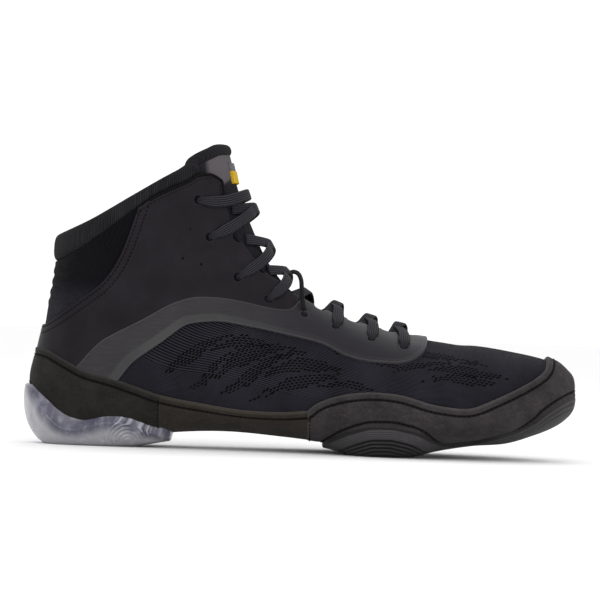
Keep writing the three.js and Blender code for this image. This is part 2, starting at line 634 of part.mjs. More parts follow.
// The slack bar: a cord that stands up over the ridge, from the medial eyelet to above the far throat edge
function looseBar() {
  const from = eyeletPlaces[LOOSE_ROW];
  const to = eyeletPlaces[LOOSE_ROW - 1];
  const endTurn = 0.5 + throatReach(to.row) - LACE_EDGE;
  const route = new THREE.CatmullRomCurve3(LOOSE_ROUTE.map(([share, rise]) => {
    const turn = from.turn + share * (endTurn - from.turn);
    const row = laceRow(from, footOnRidge(to), to, turn);
    return formPoint(row, turn, rise * LOOSE_RISE);
  }));
  const section = new THREE.Shape();
  section.absellipse(0, 0, LOOSE_SIZE / 2, LOOSE_SIZE / 2, 0, 2 * Math.PI);
  const tube = new THREE.ExtrudeGeometry(section, { steps: 12, curveSegments: 3, extrudePath: route });
  return solidOf(tube);
}

function material(name) {
  return new THREE.MeshStandardMaterial({ metalness: 0, ...COLOURS[name] });
}

function meshOf(solid, name, look) {
  const made = solid.getMesh();
  const geometry = new THREE.BufferGeometry();
  geometry.setAttribute("position", new THREE.BufferAttribute(new Float32Array(made.vertProperties), 3));
  geometry.setIndex(new THREE.BufferAttribute(new Uint32Array(made.triVerts), 1));
  const mesh = new THREE.Mesh(geometry, material(look));
  mesh.name = name;
  return mesh;
}

const pieces = [
  meshOf(upper(), "upper", "mesh"),
  meshOf(insole(), "insole", "lining"),
  meshOf(tongue(), "tongue", "mesh"),
  meshOf(tongueBinding(), "tongue_binding", "knit"),
  meshOf(tongueLabel(), "tongue_label", "label"),
  meshOf(collarCuff(), "collar_cuff", "knit"),
  meshOf(ankleOverlay(), "ankle_overlay", "synthetic"),
  meshOf(eyestayBand(), "eyestay_band", "band"),
  meshOf(heelPanel(), "heel_panel", "suede"),
  meshOf(archPanel(), "arch_panel", "suede"),
  meshOf(forefootPanel(), "forefoot_panel", "suede"),
  meshOf(heelUnit(), "heel_unit", "heelRubber"),
  meshOf(forefootOutsole(), "forefoot_outsole", "rubber"),
];
EYELETS.forEach((_, index) => {
  pieces.push(meshOf(laceCrossing(index), `lace_crossing_${index + 1}`, "lace"));
});
pieces.push(meshOf(looseBar(), "lace_loose_bar", "lace"));

// The origin is on the floor, under the middle of the shoe
const standing = new THREE.Group();
standing.add(...pieces);
const box = new THREE.Box3().setFromObject(standing);
const middle = box.getCenter(new THREE.Vector3());
standing.position.set(-middle.x, -middle.y, -box.min.z);
const shoe = new THREE.Group();
shoe.add(standing);

export default shoe;
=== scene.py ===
"""The looks of a left high-top wrestling shoe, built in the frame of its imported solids.

Shapes are worked out in millimetres, as in the solids' source, and become metres when a mesh is made.
"""

import math

import bpy
import numpy as np
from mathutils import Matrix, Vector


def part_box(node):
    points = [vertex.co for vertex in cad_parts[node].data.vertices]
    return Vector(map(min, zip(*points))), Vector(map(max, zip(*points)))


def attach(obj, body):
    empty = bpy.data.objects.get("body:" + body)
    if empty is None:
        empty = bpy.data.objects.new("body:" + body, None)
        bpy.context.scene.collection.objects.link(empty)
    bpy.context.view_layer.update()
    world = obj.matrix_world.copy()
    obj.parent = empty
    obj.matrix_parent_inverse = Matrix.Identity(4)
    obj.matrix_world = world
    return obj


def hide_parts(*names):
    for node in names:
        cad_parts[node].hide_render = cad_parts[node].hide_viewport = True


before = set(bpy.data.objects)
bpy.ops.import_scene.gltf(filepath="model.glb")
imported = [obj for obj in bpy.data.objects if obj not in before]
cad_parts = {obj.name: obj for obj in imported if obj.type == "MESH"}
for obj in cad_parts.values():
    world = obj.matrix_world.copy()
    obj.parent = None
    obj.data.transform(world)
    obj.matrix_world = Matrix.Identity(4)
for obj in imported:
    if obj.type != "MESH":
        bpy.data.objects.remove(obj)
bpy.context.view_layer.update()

# Driving sizes, in millimetres
LENGTH = 288.0
BALL_WIDTH = 99.0
INSTEP_HEIGHT = 80.0
SHAFT_RISE = 81.0
HEEL_STACK = 11.0
WALL = 2.0
OVERLAY = 1.2
GAP = 0.3
TONGUE_THICKNESS = 3.2
BINDING_HEIGHT = 6.5
INSOLE_THICKNESS = 3.0
RIB_PITCH = 1.9
EYELET_RADIUS = 2.0
LACE_WIDTH = 6.0
LACE_THICKNESS = 1.5
SCALLOP_RADIUS = 3.2
LABEL_REACH = 0.045
INSIDE = -WALL - GAP
CAD_RINGS = 21
PIXEL = 0.52844  # of the photo, at the middle of the shoe
OVERLAY_OUT = GAP + OVERLAY
BAND_OUT = OVERLAY_OUT + 0.35
SUEDE_OUT = OVERLAY_OUT + 0.5

# The last as a bent tube of sections, from the toe round the heel to above the collar:
# base x and height, top x and height, medial and lateral half width, shift, widest place,
# squareness below and above it, share of the sole's stack
SECTIONS = np.array([
    [0.993, 0.450, 0.993, 0.450, 0.000, 0.000, -0.091, 0.45, 2.60, 2.20, 0.00],
    [0.990, 0.369, 0.990, 0.541, 0.091, 0.091, -0.091, 0.45, 2.60, 2.20, 0.08],
    [0.977, 0.323, 0.979, 0.591, 0.172, 0.162, -0.086, 0.43, 2.80, 2.20, 0.18],
    [0.955, 0.273, 0.960, 0.644, 0.263, 0.247, -0.076, 0.42, 3.00, 2.20, 0.20],
    [0.920, 0.220, 0.927, 0.682, 0.343, 0.323, -0.066, 0.40, 3.20, 2.20, 0.20],
    [0.872, 0.169, 0.878, 0.713, 0.414, 0.399, -0.051, 0.38, 3.30, 2.20, 0.23],
    [0.812, 0.135, 0.819, 0.741, 0.465, 0.455, -0.030, 0.36, 3.40, 2.20, 0.15],
    [0.750, 0.100, 0.753, 0.756, 0.490, 0.490, -0.010, 0.35, 3.40, 2.15, 0.20],
    [0.688, 0.075, 0.688, 0.792, 0.490, 0.505, 0.000, 0.34, 3.40, 2.15, 0.45],
    [0.625, 0.074, 0.622, 0.850, 0.465, 0.510, 0.010, 0.33, 3.40, 2.10, 0.58],
    [0.556, 0.091, 0.559, 0.925, 0.414, 0.485, 0.020, 0.31, 3.30, 2.05, 0.24],
    [0.486, 0.113, 0.505, 1.015, 0.364, 0.444, 0.020, 0.30, 3.20, 2.00, 0.18],
    [0.410, 0.134, 0.470, 1.115, 0.333, 0.394, 0.010, 0.30, 3.10, 2.00, 0.16],
    [0.337, 0.139, 0.444, 1.225, 0.323, 0.364, 0.005, 0.31, 3.10, 2.00, 0.16],
    [0.264, 0.120, 0.429, 1.309, 0.318, 0.348, 0.000, 0.32, 3.10, 2.00, 0.42],
    [0.194, 0.091, 0.418, 1.386, 0.323, 0.343, 0.000, 0.33, 3.10, 2.05, 0.62],
    [0.125, 0.090, 0.409, 1.457, 0.328, 0.338, 0.000, 0.35, 3.00, 2.05, 0.82],
    [0.069, 0.119, 0.401, 1.518, 0.328, 0.333, 0.000, 0.37, 2.70, 2.10, 1.00],
    [0.033, 0.188, 0.394, 1.568, 0.328, 0.333, 0.000, 0.39, 2.40, 2.15, 0.77],
    [0.012, 0.300, 0.389, 1.617, 0.328, 0.333, 0.000, 0.40, 2.20, 2.20, 0.41],
    [0.009, 0.450, 0.384, 1.667, 0.328, 0.333, 0.000, 0.41, 2.15, 2.20, 0.16],
    [0.017, 0.600, 0.379, 1.716, 0.328, 0.333, 0.000, 0.42, 2.10, 2.20, 0.16],
    [0.026, 0.775, 0.374, 1.772, 0.328, 0.333, 0.000, 0.44, 2.10, 2.20, 0.16],
    [0.033, 0.950, 0.370, 1.831, 0.333, 0.338, 0.000, 0.45, 2.10, 2.20, 0.16],
    [0.040, 1.123, 0.365, 1.896, 0.338, 0.343, 0.000, 0.46, 2.10, 2.20, 0.16],
    [0.043, 1.284, 0.359, 1.969, 0.338, 0.343, 0.000, 0.47, 2.10, 2.20, 0.16],
    [0.043, 1.444, 0.352, 2.049, 0.338, 0.343, 0.000, 0.48, 2.10, 2.20, 0.16],
    [0.043, 1.605, 0.345, 2.136, 0.338, 0.343, 0.000, 0.48, 2.10, 2.20, 0.16],
])
LAST_ROW = len(SECTIONS) - 1

# Seam and edge lines as the side view shows them: share of LENGTH, share of height
COLLAR_LINE = [(0, 1.35), (0.042, 1.362), (0.100, 1.454), (0.143, 1.544), (0.186, 1.642), (0.258, 1.801),
               (0.299, 1.870), (0.420, 1.870)]
CUFF_LINE = [
    (0.000, 1.175), (0.036, 1.191), (0.076, 1.255), (0.121, 1.359), (0.188, 1.543), (0.228, 1.641),
    (0.283, 1.738), (0.310, 1.788), (0.420, 1.810),
]
THROAT_CORNER = [
    (0.300, 1.812), (0.326, 1.790), (0.345, 1.750), (0.357, 1.690), (0.363, 1.605), (0.420, 1.500),
]
THROAT_REACH = np.array([(7.55, 0.006), (7.8, 0.030), (8.8, 0.044), (12, 0.056), (13, 0.076), (16, 0.084),
                         (22, 0.094), (27, 0.100)])
TONGUE_TOP_LINE = [
    (0.200, 1.640), (0.258, 1.801), (0.286, 1.902), (0.315, 1.964), (0.330, 1.990), (0.360, 1.990),
]
ANKLE_REAR_LINE = [
    (0.203, 1.644), (0.193, 1.535), (0.183, 1.419), (0.172, 1.303), (0.160, 1.204), (0.147, 1.129),
    (0.129, 1.053), (0.102, 0.976), (0.071, 0.889), (0.040, 0.811), (0.023, 0.784),
    (-0.020, 0.763),
]
BAND_TOP_LINE = [
    (0.095, 0.529), (0.115, 0.614), (0.133, 0.682), (0.155, 0.735), (0.209, 0.841), (0.259, 0.947),
    (0.299, 0.996), (0.345, 1.002), (0.391, 0.980), (0.438, 0.948), (0.461, 0.940), (0.478, 0.950),
    (0.500, 1.040),
]
BAND_LOW_LINE = [
    (0.170, 0.439), (0.189, 0.533), (0.207, 0.593), (0.243, 0.688), (0.283, 0.801), (0.301, 0.825),
    (0.329, 0.840), (0.351, 0.843), (0.374, 0.834), (0.458, 0.785), (0.532, 0.729), (0.578, 0.656),
    (0.624, 0.622), (0.680, 0.629), (0.708, 0.665), (0.724, 0.733), (0.730, 0.860),
]
HEEL_TOP_LINE = [
    (-0.020, 0.645), (0.020, 0.630), (0.037, 0.620), (0.051, 0.597), (0.093, 0.520),
    (0.112, 0.490), (0.153, 0.454), (0.190, 0.414), (0.237, 0.357), (0.251, 0.345),
]
ARCH_TOP_LINE = [
    (0.251, 0.345), (0.284, 0.322), (0.316, 0.305), (0.389, 0.267), (0.463, 0.264), (0.512, 0.284),
]
FOREFOOT_TOP_LINE = [
    (0.512, 0.284), (0.528, 0.333), (0.553, 0.375), (0.590, 0.410), (0.636, 0.425), (0.682, 0.411),
    (0.737, 0.359), (0.783, 0.340), (0.811, 0.349), (0.847, 0.406), (0.901, 0.506), (0.935, 0.590),
    (0.945, 0.670), (0.948, 0.760),
]
WAVE_LINE = [
    (-0.020, 0.400), (0.003, 0.376), (0.031, 0.250), (0.041, 0.196), (0.060, 0.133),
    (0.077, 0.112), (0.097, 0.108), (0.115, 0.129), (0.133, 0.152), (0.152, 0.164), (0.171, 0.166),
    (0.189, 0.157), (0.207, 0.133), (0.226, 0.105), (0.244, 0.090), (0.263, 0.065), (0.268, 0.020),
]
LOBE_LINE = [
    (0.535, 0.020), (0.547, 0.057), (0.556, 0.085), (0.583, 0.134), (0.611, 0.171), (0.629, 0.187),
    (0.666, 0.191), (0.684, 0.180), (0.703, 0.166), (0.721, 0.142), (0.740, 0.108), (0.765, 0.086),
    (0.790, 0.098), (0.813, 0.108), (0.831, 0.122), (0.850, 0.142), (0.886, 0.187), (0.922, 0.258),
    (0.940, 0.313), (0.976, 0.397), (1.010, 0.440),
]
HEEL_SEAM = 0.249
FOREFOOT_SEAM = 0.512
EYELETS = [(0.300, 1.623), (0.323, 1.385), (0.377, 1.132), (0.434, 0.995), (0.500, 0.899), (0.558, 0.824),
           (0.623, 0.749), (0.683, 0.709)]
LOOSE_ROW = 4
LOOSE_RISE = 7.0
LOOSE_SIZE = 2.4
LOOSE_ROUTE = [
    (0.03, 0.42), (0.14, 0.62), (0.28, 0.86), (0.42, 1.00), (0.56, 1.00), (0.70, 0.94), (0.84, 0.90),
    (0.96, 0.90),
]
LACE_LEAN = 0.26
LACE_EDGE = 0.022

# Soft troughs and ridges:
# side (-1 inner, 1 outer, 0 both), half width, depth, places in the photo
CREASES = [
    (0, 5.0, -0.9, [(262, 292), (238, 284), (214, 286)]),
    (0, 4.0, -0.6, [(246, 262), (226, 252), (208, 254)]),
    (0, 6.0, 0.5, [(236, 270), (214, 268), (190, 276)]),
    (-1, 6.0, -0.6, [(64, 335), (96, 326), (132, 330)]),
    (1, 6.0, -0.7, [(60, 328), (92, 318), (126, 324)]),
    (0, 9.0, 0.5, [(120, 300), (150, 270), (172, 232)]),
    (-1, 5.0, -0.5, [(64, 392), (104, 402), (146, 412)]),
    (0, 6.0, -0.7, [(404, 338), (398, 360), (384, 388)]),
    (0, 5.0, -0.6, [(428, 342), (424, 362), (412, 384)]),
    (0, 6.0, 0.5, [(416, 340), (411, 362), (398, 386)]),
    (-1, 5.0, -0.5, [(456, 346), (452, 366), (444, 388)]),
    (1, 5.0, -0.5, [(462, 346), (456, 368), (446, 390)]),
    (0, 7.0, 0.6, [(470, 352), (500, 358), (528, 370)]),
    (0, 5.0, -0.4, [(196, 424), (240, 424), (286, 428)]),
    (0, 6.0, -0.5, [(330, 430), (370, 424), (412, 428)]),
    (-1, 5.0, -0.4, [(470, 408), (500, 400), (530, 392)]),
    (0, 8.0, -0.5, [(180, 330), (240, 318), (300, 332)]),
]
QUILT_PITCH = 5.7
QUILT_HEIGHT = 0.9

# Streaks of slot holes in the mesh: half width in mm at its middle, places in the photo
STREAKS = [
    (4.2, [(163, 374), (184, 360), (207, 346), (226, 341), (246, 340), (272, 345)]),
    (5.0, [(193, 387), (214, 372), (232, 359), (256, 352), (282, 350), (306, 353)]),
    (4.6, [(221, 392), (244, 380), (262, 368), (292, 362), (322, 366), (346, 372)]),
    (3.2, [(251, 399), (270, 390), (292, 382), (320, 379), (346, 382), (372, 388)]),
    (2.6, [(330, 352), (352, 352), (378, 360), (404, 368)]),
    (3.0, [(384, 358), (404, 352), (430, 354), (458, 360), (486, 366)]),
    (3.4, [(392, 370), (418, 364), (446, 366), (476, 373), (506, 378)]),
    (3.0, [(420, 379), (446, 375), (474, 380), (500, 386)]),
]

# Camera and floor: a level telephoto view from the inner side, rolled as the photo is
PHOTO_ROLL = math.radians(2.061)
PHOTO_MIDDLE = (141.74, 80.13)
CAMERA_FAR = 1.9
PHOTO_SIDE = 600

RUBBER_OUT = 2.4  # sole walls and the ribs' tops, a little proud of the suede
FIRST_GROOVE = 6.1  # from the lobe's upper edge
ARC_CENTRE = (130, 440)  # in the photo, of the arcs moulded into the heel
ARC_REACH = 14.0
MARK_PLACE = [(234, 184), (225, 171)]  # photo pixels, low and high end
MARK_REACH = 0.045
SLOT_SHAPE = np.array([(-1, 0), (-0.55, 0.8), (0.45, 0.9), (1, 0.1), (0.55, -0.8), (-0.45, -0.9)])
PINHOLES = [(191, 230, 0.55), (184, 259, 0.7), (202, 265, 0.7)]  # photo pixels, radius in mm
TONGUE_FROM = 6.9
MM_PER_ROW_AT_VAMP = 18.0
STITCH_IN = 3.9
FINE_STITCH = {"pitch": 2.1, "length": 1.5, "radius": 0.22}
FINE = 0.75  # pitch of a panel's net
ROW_MM = 12.0  # rough length of a row, for the weave's coordinates
ROUND_MM = 262.0  # rough way round a row
ALL_ROWS = (0.0, 27.0)
ROUND = (-0.5, 0.5)
FRONT = (0.3, 0.7)
CORNER_END, WRAP_END = 0.45, 0.49  # shares of LENGTH
BALL_FROM, BALL_TO, TOE_FROM = 0.553, 0.752, 0.80
UNDERLAP = 3.5  # how far a panel runs on under the next one
LACE_LIFT = 2.6
LACE_RIB = 1.1
SLOT_LANE = 1.4
SLOT_PITCH = 2.4
WORLD_LIGHT = 1.08
BATCH = 20000  # points measured at once


def from_photo(px, py):
    """Place in the side view, in millimetres, for a pixel of the photo."""
    dx = px - 26.5
    dy = py - 441.9
    x = (dx * 0.99935 + dy * 0.03596) * PIXEL
    z = (454.5 - py) * 0.5281 + (px - 377) * 0.0190
    return x, z


# Form
def least(*values):
    return np.minimum.reduce(values)


def run_along(points):
    """Length of a path up to each of its points."""
    return np.concatenate([[0], np.cumsum(np.linalg.norm(np.diff(points, axis=0), axis=1))])


def height_at(share):
    share = np.asarray(share, float)
    return np.minimum(share, 1) * INSTEP_HEIGHT + np.maximum(share - 1, 0) * SHAFT_RISE


def section_at(row):
    start = np.clip(np.floor(row).astype(int), 0, LAST_ROW - 1)
    t = (row - start)[..., None]
    before, near, far, after = (SECTIONS[np.clip(start + k, 0, LAST_ROW)] for k in (-1, 0, 1, 2))
    slope_near = (far - before) / 2
    slope_far = (after - near) / 2
    a = 2 * (near - far) + slope_near + slope_far
    b = 3 * (far - near) - 2 * slope_near - slope_far
    return ((a * t + b) * t + slope_near) * t + near


def turn_at(row, v):
    """Turn of the section's own curve for an even share v of the way round it."""
    s = section_at(row)
    v = np.mod(v, 1.0)
    low = (v < 0.25) | (v > 0.75)
    from_base = np.where(v > 0.5, 1 - v, v) * 2 * np.pi
    side = np.where(v > 0.5, -1.0, 1.0)
    angle_low = np.arctan(np.tan(np.clip(from_base, 0, np.pi / 2 - 1e-9)) ** (s[..., 8] / 2))
    from_top = np.clip(np.pi - from_base, 0, np.pi / 2 - 1e-9)
    angle_high = np.pi - np.arctan(np.tan(from_top) ** (s[..., 9] / 2))
    angle = np.where(low, angle_low, angle_high)
    return np.mod(side * angle / (2 * np.pi), 1.0)


def last_point(row, turn, drop=0.0):
    s = section_at(row)
    base = np.stack([s[..., 0] * LENGTH, height_at(s[..., 1])], -1)
    top = np.stack([s[..., 2] * LENGTH, height_at(s[..., 3])], -1)
    span = top - base
    size = np.linalg.norm(span, axis=-1)
    axis = span / np.maximum(size, 1e-9)[..., None]
    reach = -np.cos(turn * 2 * np.pi)
    side = np.sin(turn * 2 * np.pi)
    square = np.where(reach < 0, s[..., 8], s[..., 9])
    along = np.sign(reach) * np.abs(reach) ** (2 / square)
    out = np.abs(side) ** (2 / square)
    low_reach = s[..., 7] * size + drop * s[..., 10] * HEEL_STACK
    high_reach = (1 - s[..., 7]) * size
    rise = s[..., 7] * size + np.where(reach < 0, low_reach, high_reach) * along
    width = np.where(side > 0, -s[..., 4], s[..., 5]) * BALL_WIDTH
    x = base[..., 0] + axis[..., 0] * rise
    z = base[..., 1] + axis[..., 1] * rise
    return np.stack([x, s[..., 6] * BALL_WIDTH + width * out, z], -1)


def last_normal(row, turn):
    near = np.clip(row, 0.04, LAST_ROW - 0.02)
    rows = last_point(near + 0.02, turn) - last_point(near - 0.02, turn)
    ring = last_point(near, turn + 0.005) - last_point(near, turn - 0.005)
    normal = np.cross(ring, rows)
    normal = normal / np.maximum(np.linalg.norm(normal, axis=-1), 1e-9)[..., None]
    return np.where((row < 0.02)[..., None], np.array([1.0, 0, 0]), normal)


def smooth_line(points, pitch=1.5):
    """A curve through the points, sampled about every pitch."""
    points = np.asarray(points, float)
    ends = np.vstack([2 * points[0] - points[1], points, 2 * points[-1] - points[-2]])
    made = []
    for i in range(1, len(ends) - 2):
        p0, p1, p2, p3 = ends[i - 1:i + 3]
        count = max(int(np.linalg.norm(p2 - p1) / pitch), 1)
        for k in range(count):
            t = k / count
            made.append(p1 + 0.5 * t * ((p2 - p0) + t * ((2 * p0 - 5 * p1 + 4 * p2 - p3)
                                                          + t * (3 * (p1 - p2) + p3 - p0))))
    made.append(ends[-2])
    return np.array(made)


class Line:
    """A line of the side view, with distances to it over the shoe's face."""

    def __init__(self, points, extend=40.0, in_photo=False):
        if in_photo:
            places = np.array([from_photo(*p) for p in points])
        else:
            places = np.array([(x * LENGTH, float(height_at(h))) for x, h in points])
        line = smooth_line(places)
        if extend:
            first = line[0] + (line[0] - line[1]) / np.linalg.norm(line[0] - line[1]) * extend
            last = line[-1] + (line[-1] - line[-2]) / np.linalg.norm(line[-1] - line[-2]) * extend
            line = np.vstack([first, line, last])
        self.line = line

    def measure(self, p):
        """Signed distance, positive to the left of the line, and its slope."""
        flat = p.reshape(-1, 3)[:, [0, 2]]
        distance = np.empty(len(flat))
        slope = np.empty((len(flat), 2))
        start, step = self.line[:-1], np.diff(self.line, axis=0)
        size = (step ** 2).sum(1)
        for k in range(0, len(flat), BATCH):
            q = flat[k:k + BATCH]
            offset = q[:, None, :] - start[None]
            share = np.clip((offset * step[None]).sum(2) / size, 0, 1)
            gap = offset - share[..., None] * step[None]
            far = (gap ** 2).sum(2)
            best = far.argmin(1)
            pick = np.arange(len(q))
            near = gap[pick, best]
            cross = step[best, 0] * near[:, 1] - step[best, 1] * near[:, 0]
            side = np.where(cross >= 0, 1.0, -1.0)
            d = np.sqrt(far[pick, best])
            distance[k:k + BATCH] = side * d
            slope[k:k + BATCH] = side[:, None] * near / np.maximum(d, 1e-9)[:, None]
        shape = p.shape[:-1]
        return distance.reshape(shape), slope.reshape(*shape, 2)

    def side(self, spot):
        """Distance over the face, positive to the left of the line."""
        distance, slope = self.measure(spot.p)
        lean = slope[..., 0] * spot.n[..., 0] + slope[..., 1] * spot.n[..., 2]
        return distance / np.sqrt(np.clip(1 - lean ** 2, 0.1, 1))


crease_lines = [(side, width, depth, Line(places, extend=0, in_photo=True))
                for side, width, depth, places in CREASES]
rear_edge = Line(ANKLE_REAR_LINE)
collar = Line(COLLAR_LINE)
cuff_seam = Line(CUFF_LINE)


def crease(p, n):
    """How far the face is pressed in or raised by listed creases, quilting and a slight waviness."""
    total = 0.10 * np.sin(p[..., 0] / 9.0 + p[..., 2] / 6.0) * np.sin(p[..., 2] / 8.0 - p[..., 0] / 12.0)
    for side, width, depth, line in crease_lines:
        distance = line.measure(p)[0]
        facing = 0.5 + 1.6 * side * n[..., 1] if side else np.abs(n[..., 1]) * 2.2
        mask = np.clip(facing, 0, 1)
        total = total + depth * mask * np.exp(-(distance / width) ** 2)
    behind = rear_edge.measure(p)[0]
    under = cuff_seam.measure(p)[0]
    quilt = (np.clip(-behind / 4, 0, 1) * np.clip((-under - 1) / 4, 0, 1)
             * np.clip((p[..., 2] - 70) / 6, 0, 1))
    quilt = quilt * np.clip((34 - p[..., 0]) / 14, 0, 1)
    ridge = np.abs(np.sin(np.pi * (p[..., 2] + 0.25 * p[..., 0]) / QUILT_PITCH)) - 0.55
    return total + QUILT_HEIGHT * ridge * quilt


class Spot:
    """Places on the face: rows, shares round, points at a height off it, and normals."""

    def __init__(self, row, v, lift=1.5, turn=None, drop=0.0):
        self.row = np.asarray(row, float)
        self.v = v
        self.turn = turn_at(self.row, v) if turn is None else turn
        self.n = last_normal(self.row, self.turn)
        self.base = last_point(self.row, self.turn, drop)
        self.p = self.base + self.n * lift


def face(row, turn, offset=0.0, drop=0.0, creased=1.0):
    row = np.asarray(row, float)
    turn = np.asarray(turn, float)
    n = last_normal(row, turn)
    base = last_point(row, turn)
    press = creased * crease(base, n) if creased else 0.0
    return last_point(row, turn, drop) + n * (offset + press)[..., None]


# The frame's place of the shoe's own zero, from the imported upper
rings = np.linspace(0, LAST_ROW, CAD_RINGS)
upper_low, upper_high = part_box("upper")
inner_side = last_point(rings, np.full(CAD_RINGS, 0.25))[:, 1].min()
outer_side = last_point(rings, np.full(CAD_RINGS, 0.75))[:, 1].max()
SHIFT = np.array([upper_high.x * 1000 - SECTIONS[0, 0] * LENGTH,
                  (upper_high.y * 1000 - outer_side + upper_low.y * 1000 - inner_side) / 2, 0.0])


def to_frame(points):
    """Millimetres of the shoe to metres of the frame."""
    return (np.asarray(points, float) + SHIFT) / 1000


# Camera first, then floor and light
middle = to_frame([PHOTO_MIDDLE[0], 0.0, PHOTO_MIDDLE[1]])
camera_data = bpy.data.cameras.new("camera")
camera = bpy.data.objects.new("camera", camera_data)
bpy.context.scene.collection.objects.link(camera)
bpy.context.scene.camera = camera
camera.location = (middle[0], middle[1] - CAMERA_FAR, middle[2])
camera_data.sensor_width = 36.0
camera_data.lens = 36.0 * CAMERA_FAR / (PHOTO_SIDE * PIXEL / 1000)
camera_data.clip_start = 0.05
camera_data.clip_end = 50.0
camera.rotation_euler = (math.pi / 2, -PHOTO_ROLL, 0.0)


# Laces' routes, of which the slack bar is a cord
def find_on_last(place):
    """Row and turn on the inner side whose face is seen at a place of the side view."""
    goal = np.array([place[0] * LENGTH, float(height_at(place[1]))])
    rows, turns = (LAST_ROW / 2, LAST_ROW / 2), (0.30, 0.14)
    for _ in range(9):
        spread = np.linspace(-1, 1, 13)
        row, turn = np.meshgrid(np.clip(rows[0] + spread * rows[1], 0.1, LAST_ROW),
                                np.clip(turns[0] + spread * turns[1], 0.2, 0.5), indexing="ij")
        p = last_point(row, turn)
        miss = np.hypot(p[..., 0] - goal[0], p[..., 2] - goal[1])
        best = np.unravel_index(miss.argmin(), miss.shape)
        rows, turns = (row[best], rows[1] / 3), (turn[best], turns[1] / 3)
    return float(rows[0]), float(turns[0])


eyelets = [find_on_last(place) for place in EYELETS]


def throat_reach(row):
    return np.interp(row, THROAT_REACH[:, 0], THROAT_REACH[:, 1])


def foot_on_ridge(eyelet):
    place = last_point(np.array([eyelet[0]]), np.array([eyelet[1]]))[0]
    rows = np.arange(THROAT_REACH[0, 0], LAST_ROW, 0.1)
    ridge = last_point(rows, np.full(len(rows), 0.5))
    return float(rows[np.hypot(ridge[:, 0] - place[0], ridge[:, 2] - place[2]).argmin()])


def lace_row(start, ridge_row, end, turn):
    """Row of a lace at a turn, by the parabola through its eyelet, the ridge and the far eyelet."""
    a, b, c = start[1], 0.5, 1 - end[1]
    first = start[0] * (turn - b) * (turn - c) / ((a - b) * (a - c))
    second = ridge_row * (turn - a) * (turn - c) / ((b - a) * (b - c))
    third = end[0] * (turn - a) * (turn - b) / ((c - a) * (c - b))
    return first + second + third


def loose_route():
    start, end = eyelets[LOOSE_ROW], eyelets[LOOSE_ROW - 1]
    end_turn = 0.5 + throat_reach(end[0]) - LACE_EDGE
    share, rise = np.array(LOOSE_ROUTE).T
    turn = start[1] + share * (end_turn - start[1])
    row = lace_row(start, foot_on_ridge(end), end, turn)
    points = last_point(row, turn) + last_normal(row, turn) * (rise * LOOSE_RISE)[:, None]
    return smooth_line(points, pitch=1.0)


# Meshes
def new_mesh(name, points, faces, material, values=None, uv=None, smooth=True):
    """A mesh object from millimetre points and triangles or quads."""
    faces = np.asarray(faces, np.int32)
    mesh = bpy.data.meshes.new(name)
    mesh.vertices.add(len(points))
    mesh.vertices.foreach_set("co", to_frame(points).astype(np.float32).ravel())
    sides = faces.shape[1]
    mesh.loops.add(faces.size)
    mesh.loops.foreach_set("vertex_index", faces.ravel())
    mesh.polygons.add(len(faces))
    mesh.polygons.foreach_set("loop_start", np.arange(len(faces), dtype=np.int32) * sides)
    mesh.polygons.foreach_set("loop_total", np.full(len(faces), sides, np.int32))
    mesh.update(calc_edges=True)
    mesh.validate()
    if smooth:
        mesh.polygons.foreach_set("use_smooth", np.ones(len(mesh.polygons), bool))
    for key, value in (values or {}).items():
        attribute = mesh.attributes.new(key, "FLOAT", "POINT")
        attribute.data.foreach_set("value", np.asarray(value, np.float32))
    if uv is not None:
        layer = mesh.uv_layers.new(name="UVMap")
        index = np.empty(len(mesh.loops), np.int32)
        mesh.loops.foreach_get("vertex_index", index)
        layer.data.foreach_set("uv", np.asarray(uv, np.float32)[index].ravel())
    mesh.materials.append(material)
    made = bpy.data.objects.new(name, mesh)
    bpy.context.scene.collection.objects.link(made)
    return made


def keep(piece, slot, *nodes):
    """The piece rides on the shoe and stands for the nodes; the slot is not used."""
    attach(piece, "root")
    if nodes:
        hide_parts(*nodes)
    return piece


def weld(points, faces, extra):
    """Merges points that fall on one another, and drops faces that this closes up."""
    keys = np.round(points, 3)
    _, first, inverse = np.unique(keys, axis=0, return_index=True, return_inverse=True)
    inverse = inverse.reshape(-1)
    faces = inverse[faces]
    open_face = (faces[:, 0] != faces[:, 1]) & (faces[:, 1] != faces[:, 2]) & (faces[:, 2] != faces[:, 0])
    return points[first], faces[open_face], [None if e is None else e[first] for e in extra]


def even_steps(rows, vs, step, axis):
    """Rows (axis 0) or shares round (axis 1), about step apart where they lie furthest apart."""
    p = last_point(*np.broadcast_arrays(rows[:, None], turn_at(rows[:, None], vs[None, :])))
    gaps = np.linalg.norm(np.diff(p, axis=axis), axis=-1).max(1 - axis)
    run = np.concatenate([[0], np.cumsum(gaps)])
    count = max(int(run[-1] / step), 4)
    return np.interp(np.linspace(0, run[-1], count + 1), run, (rows, vs)[axis])


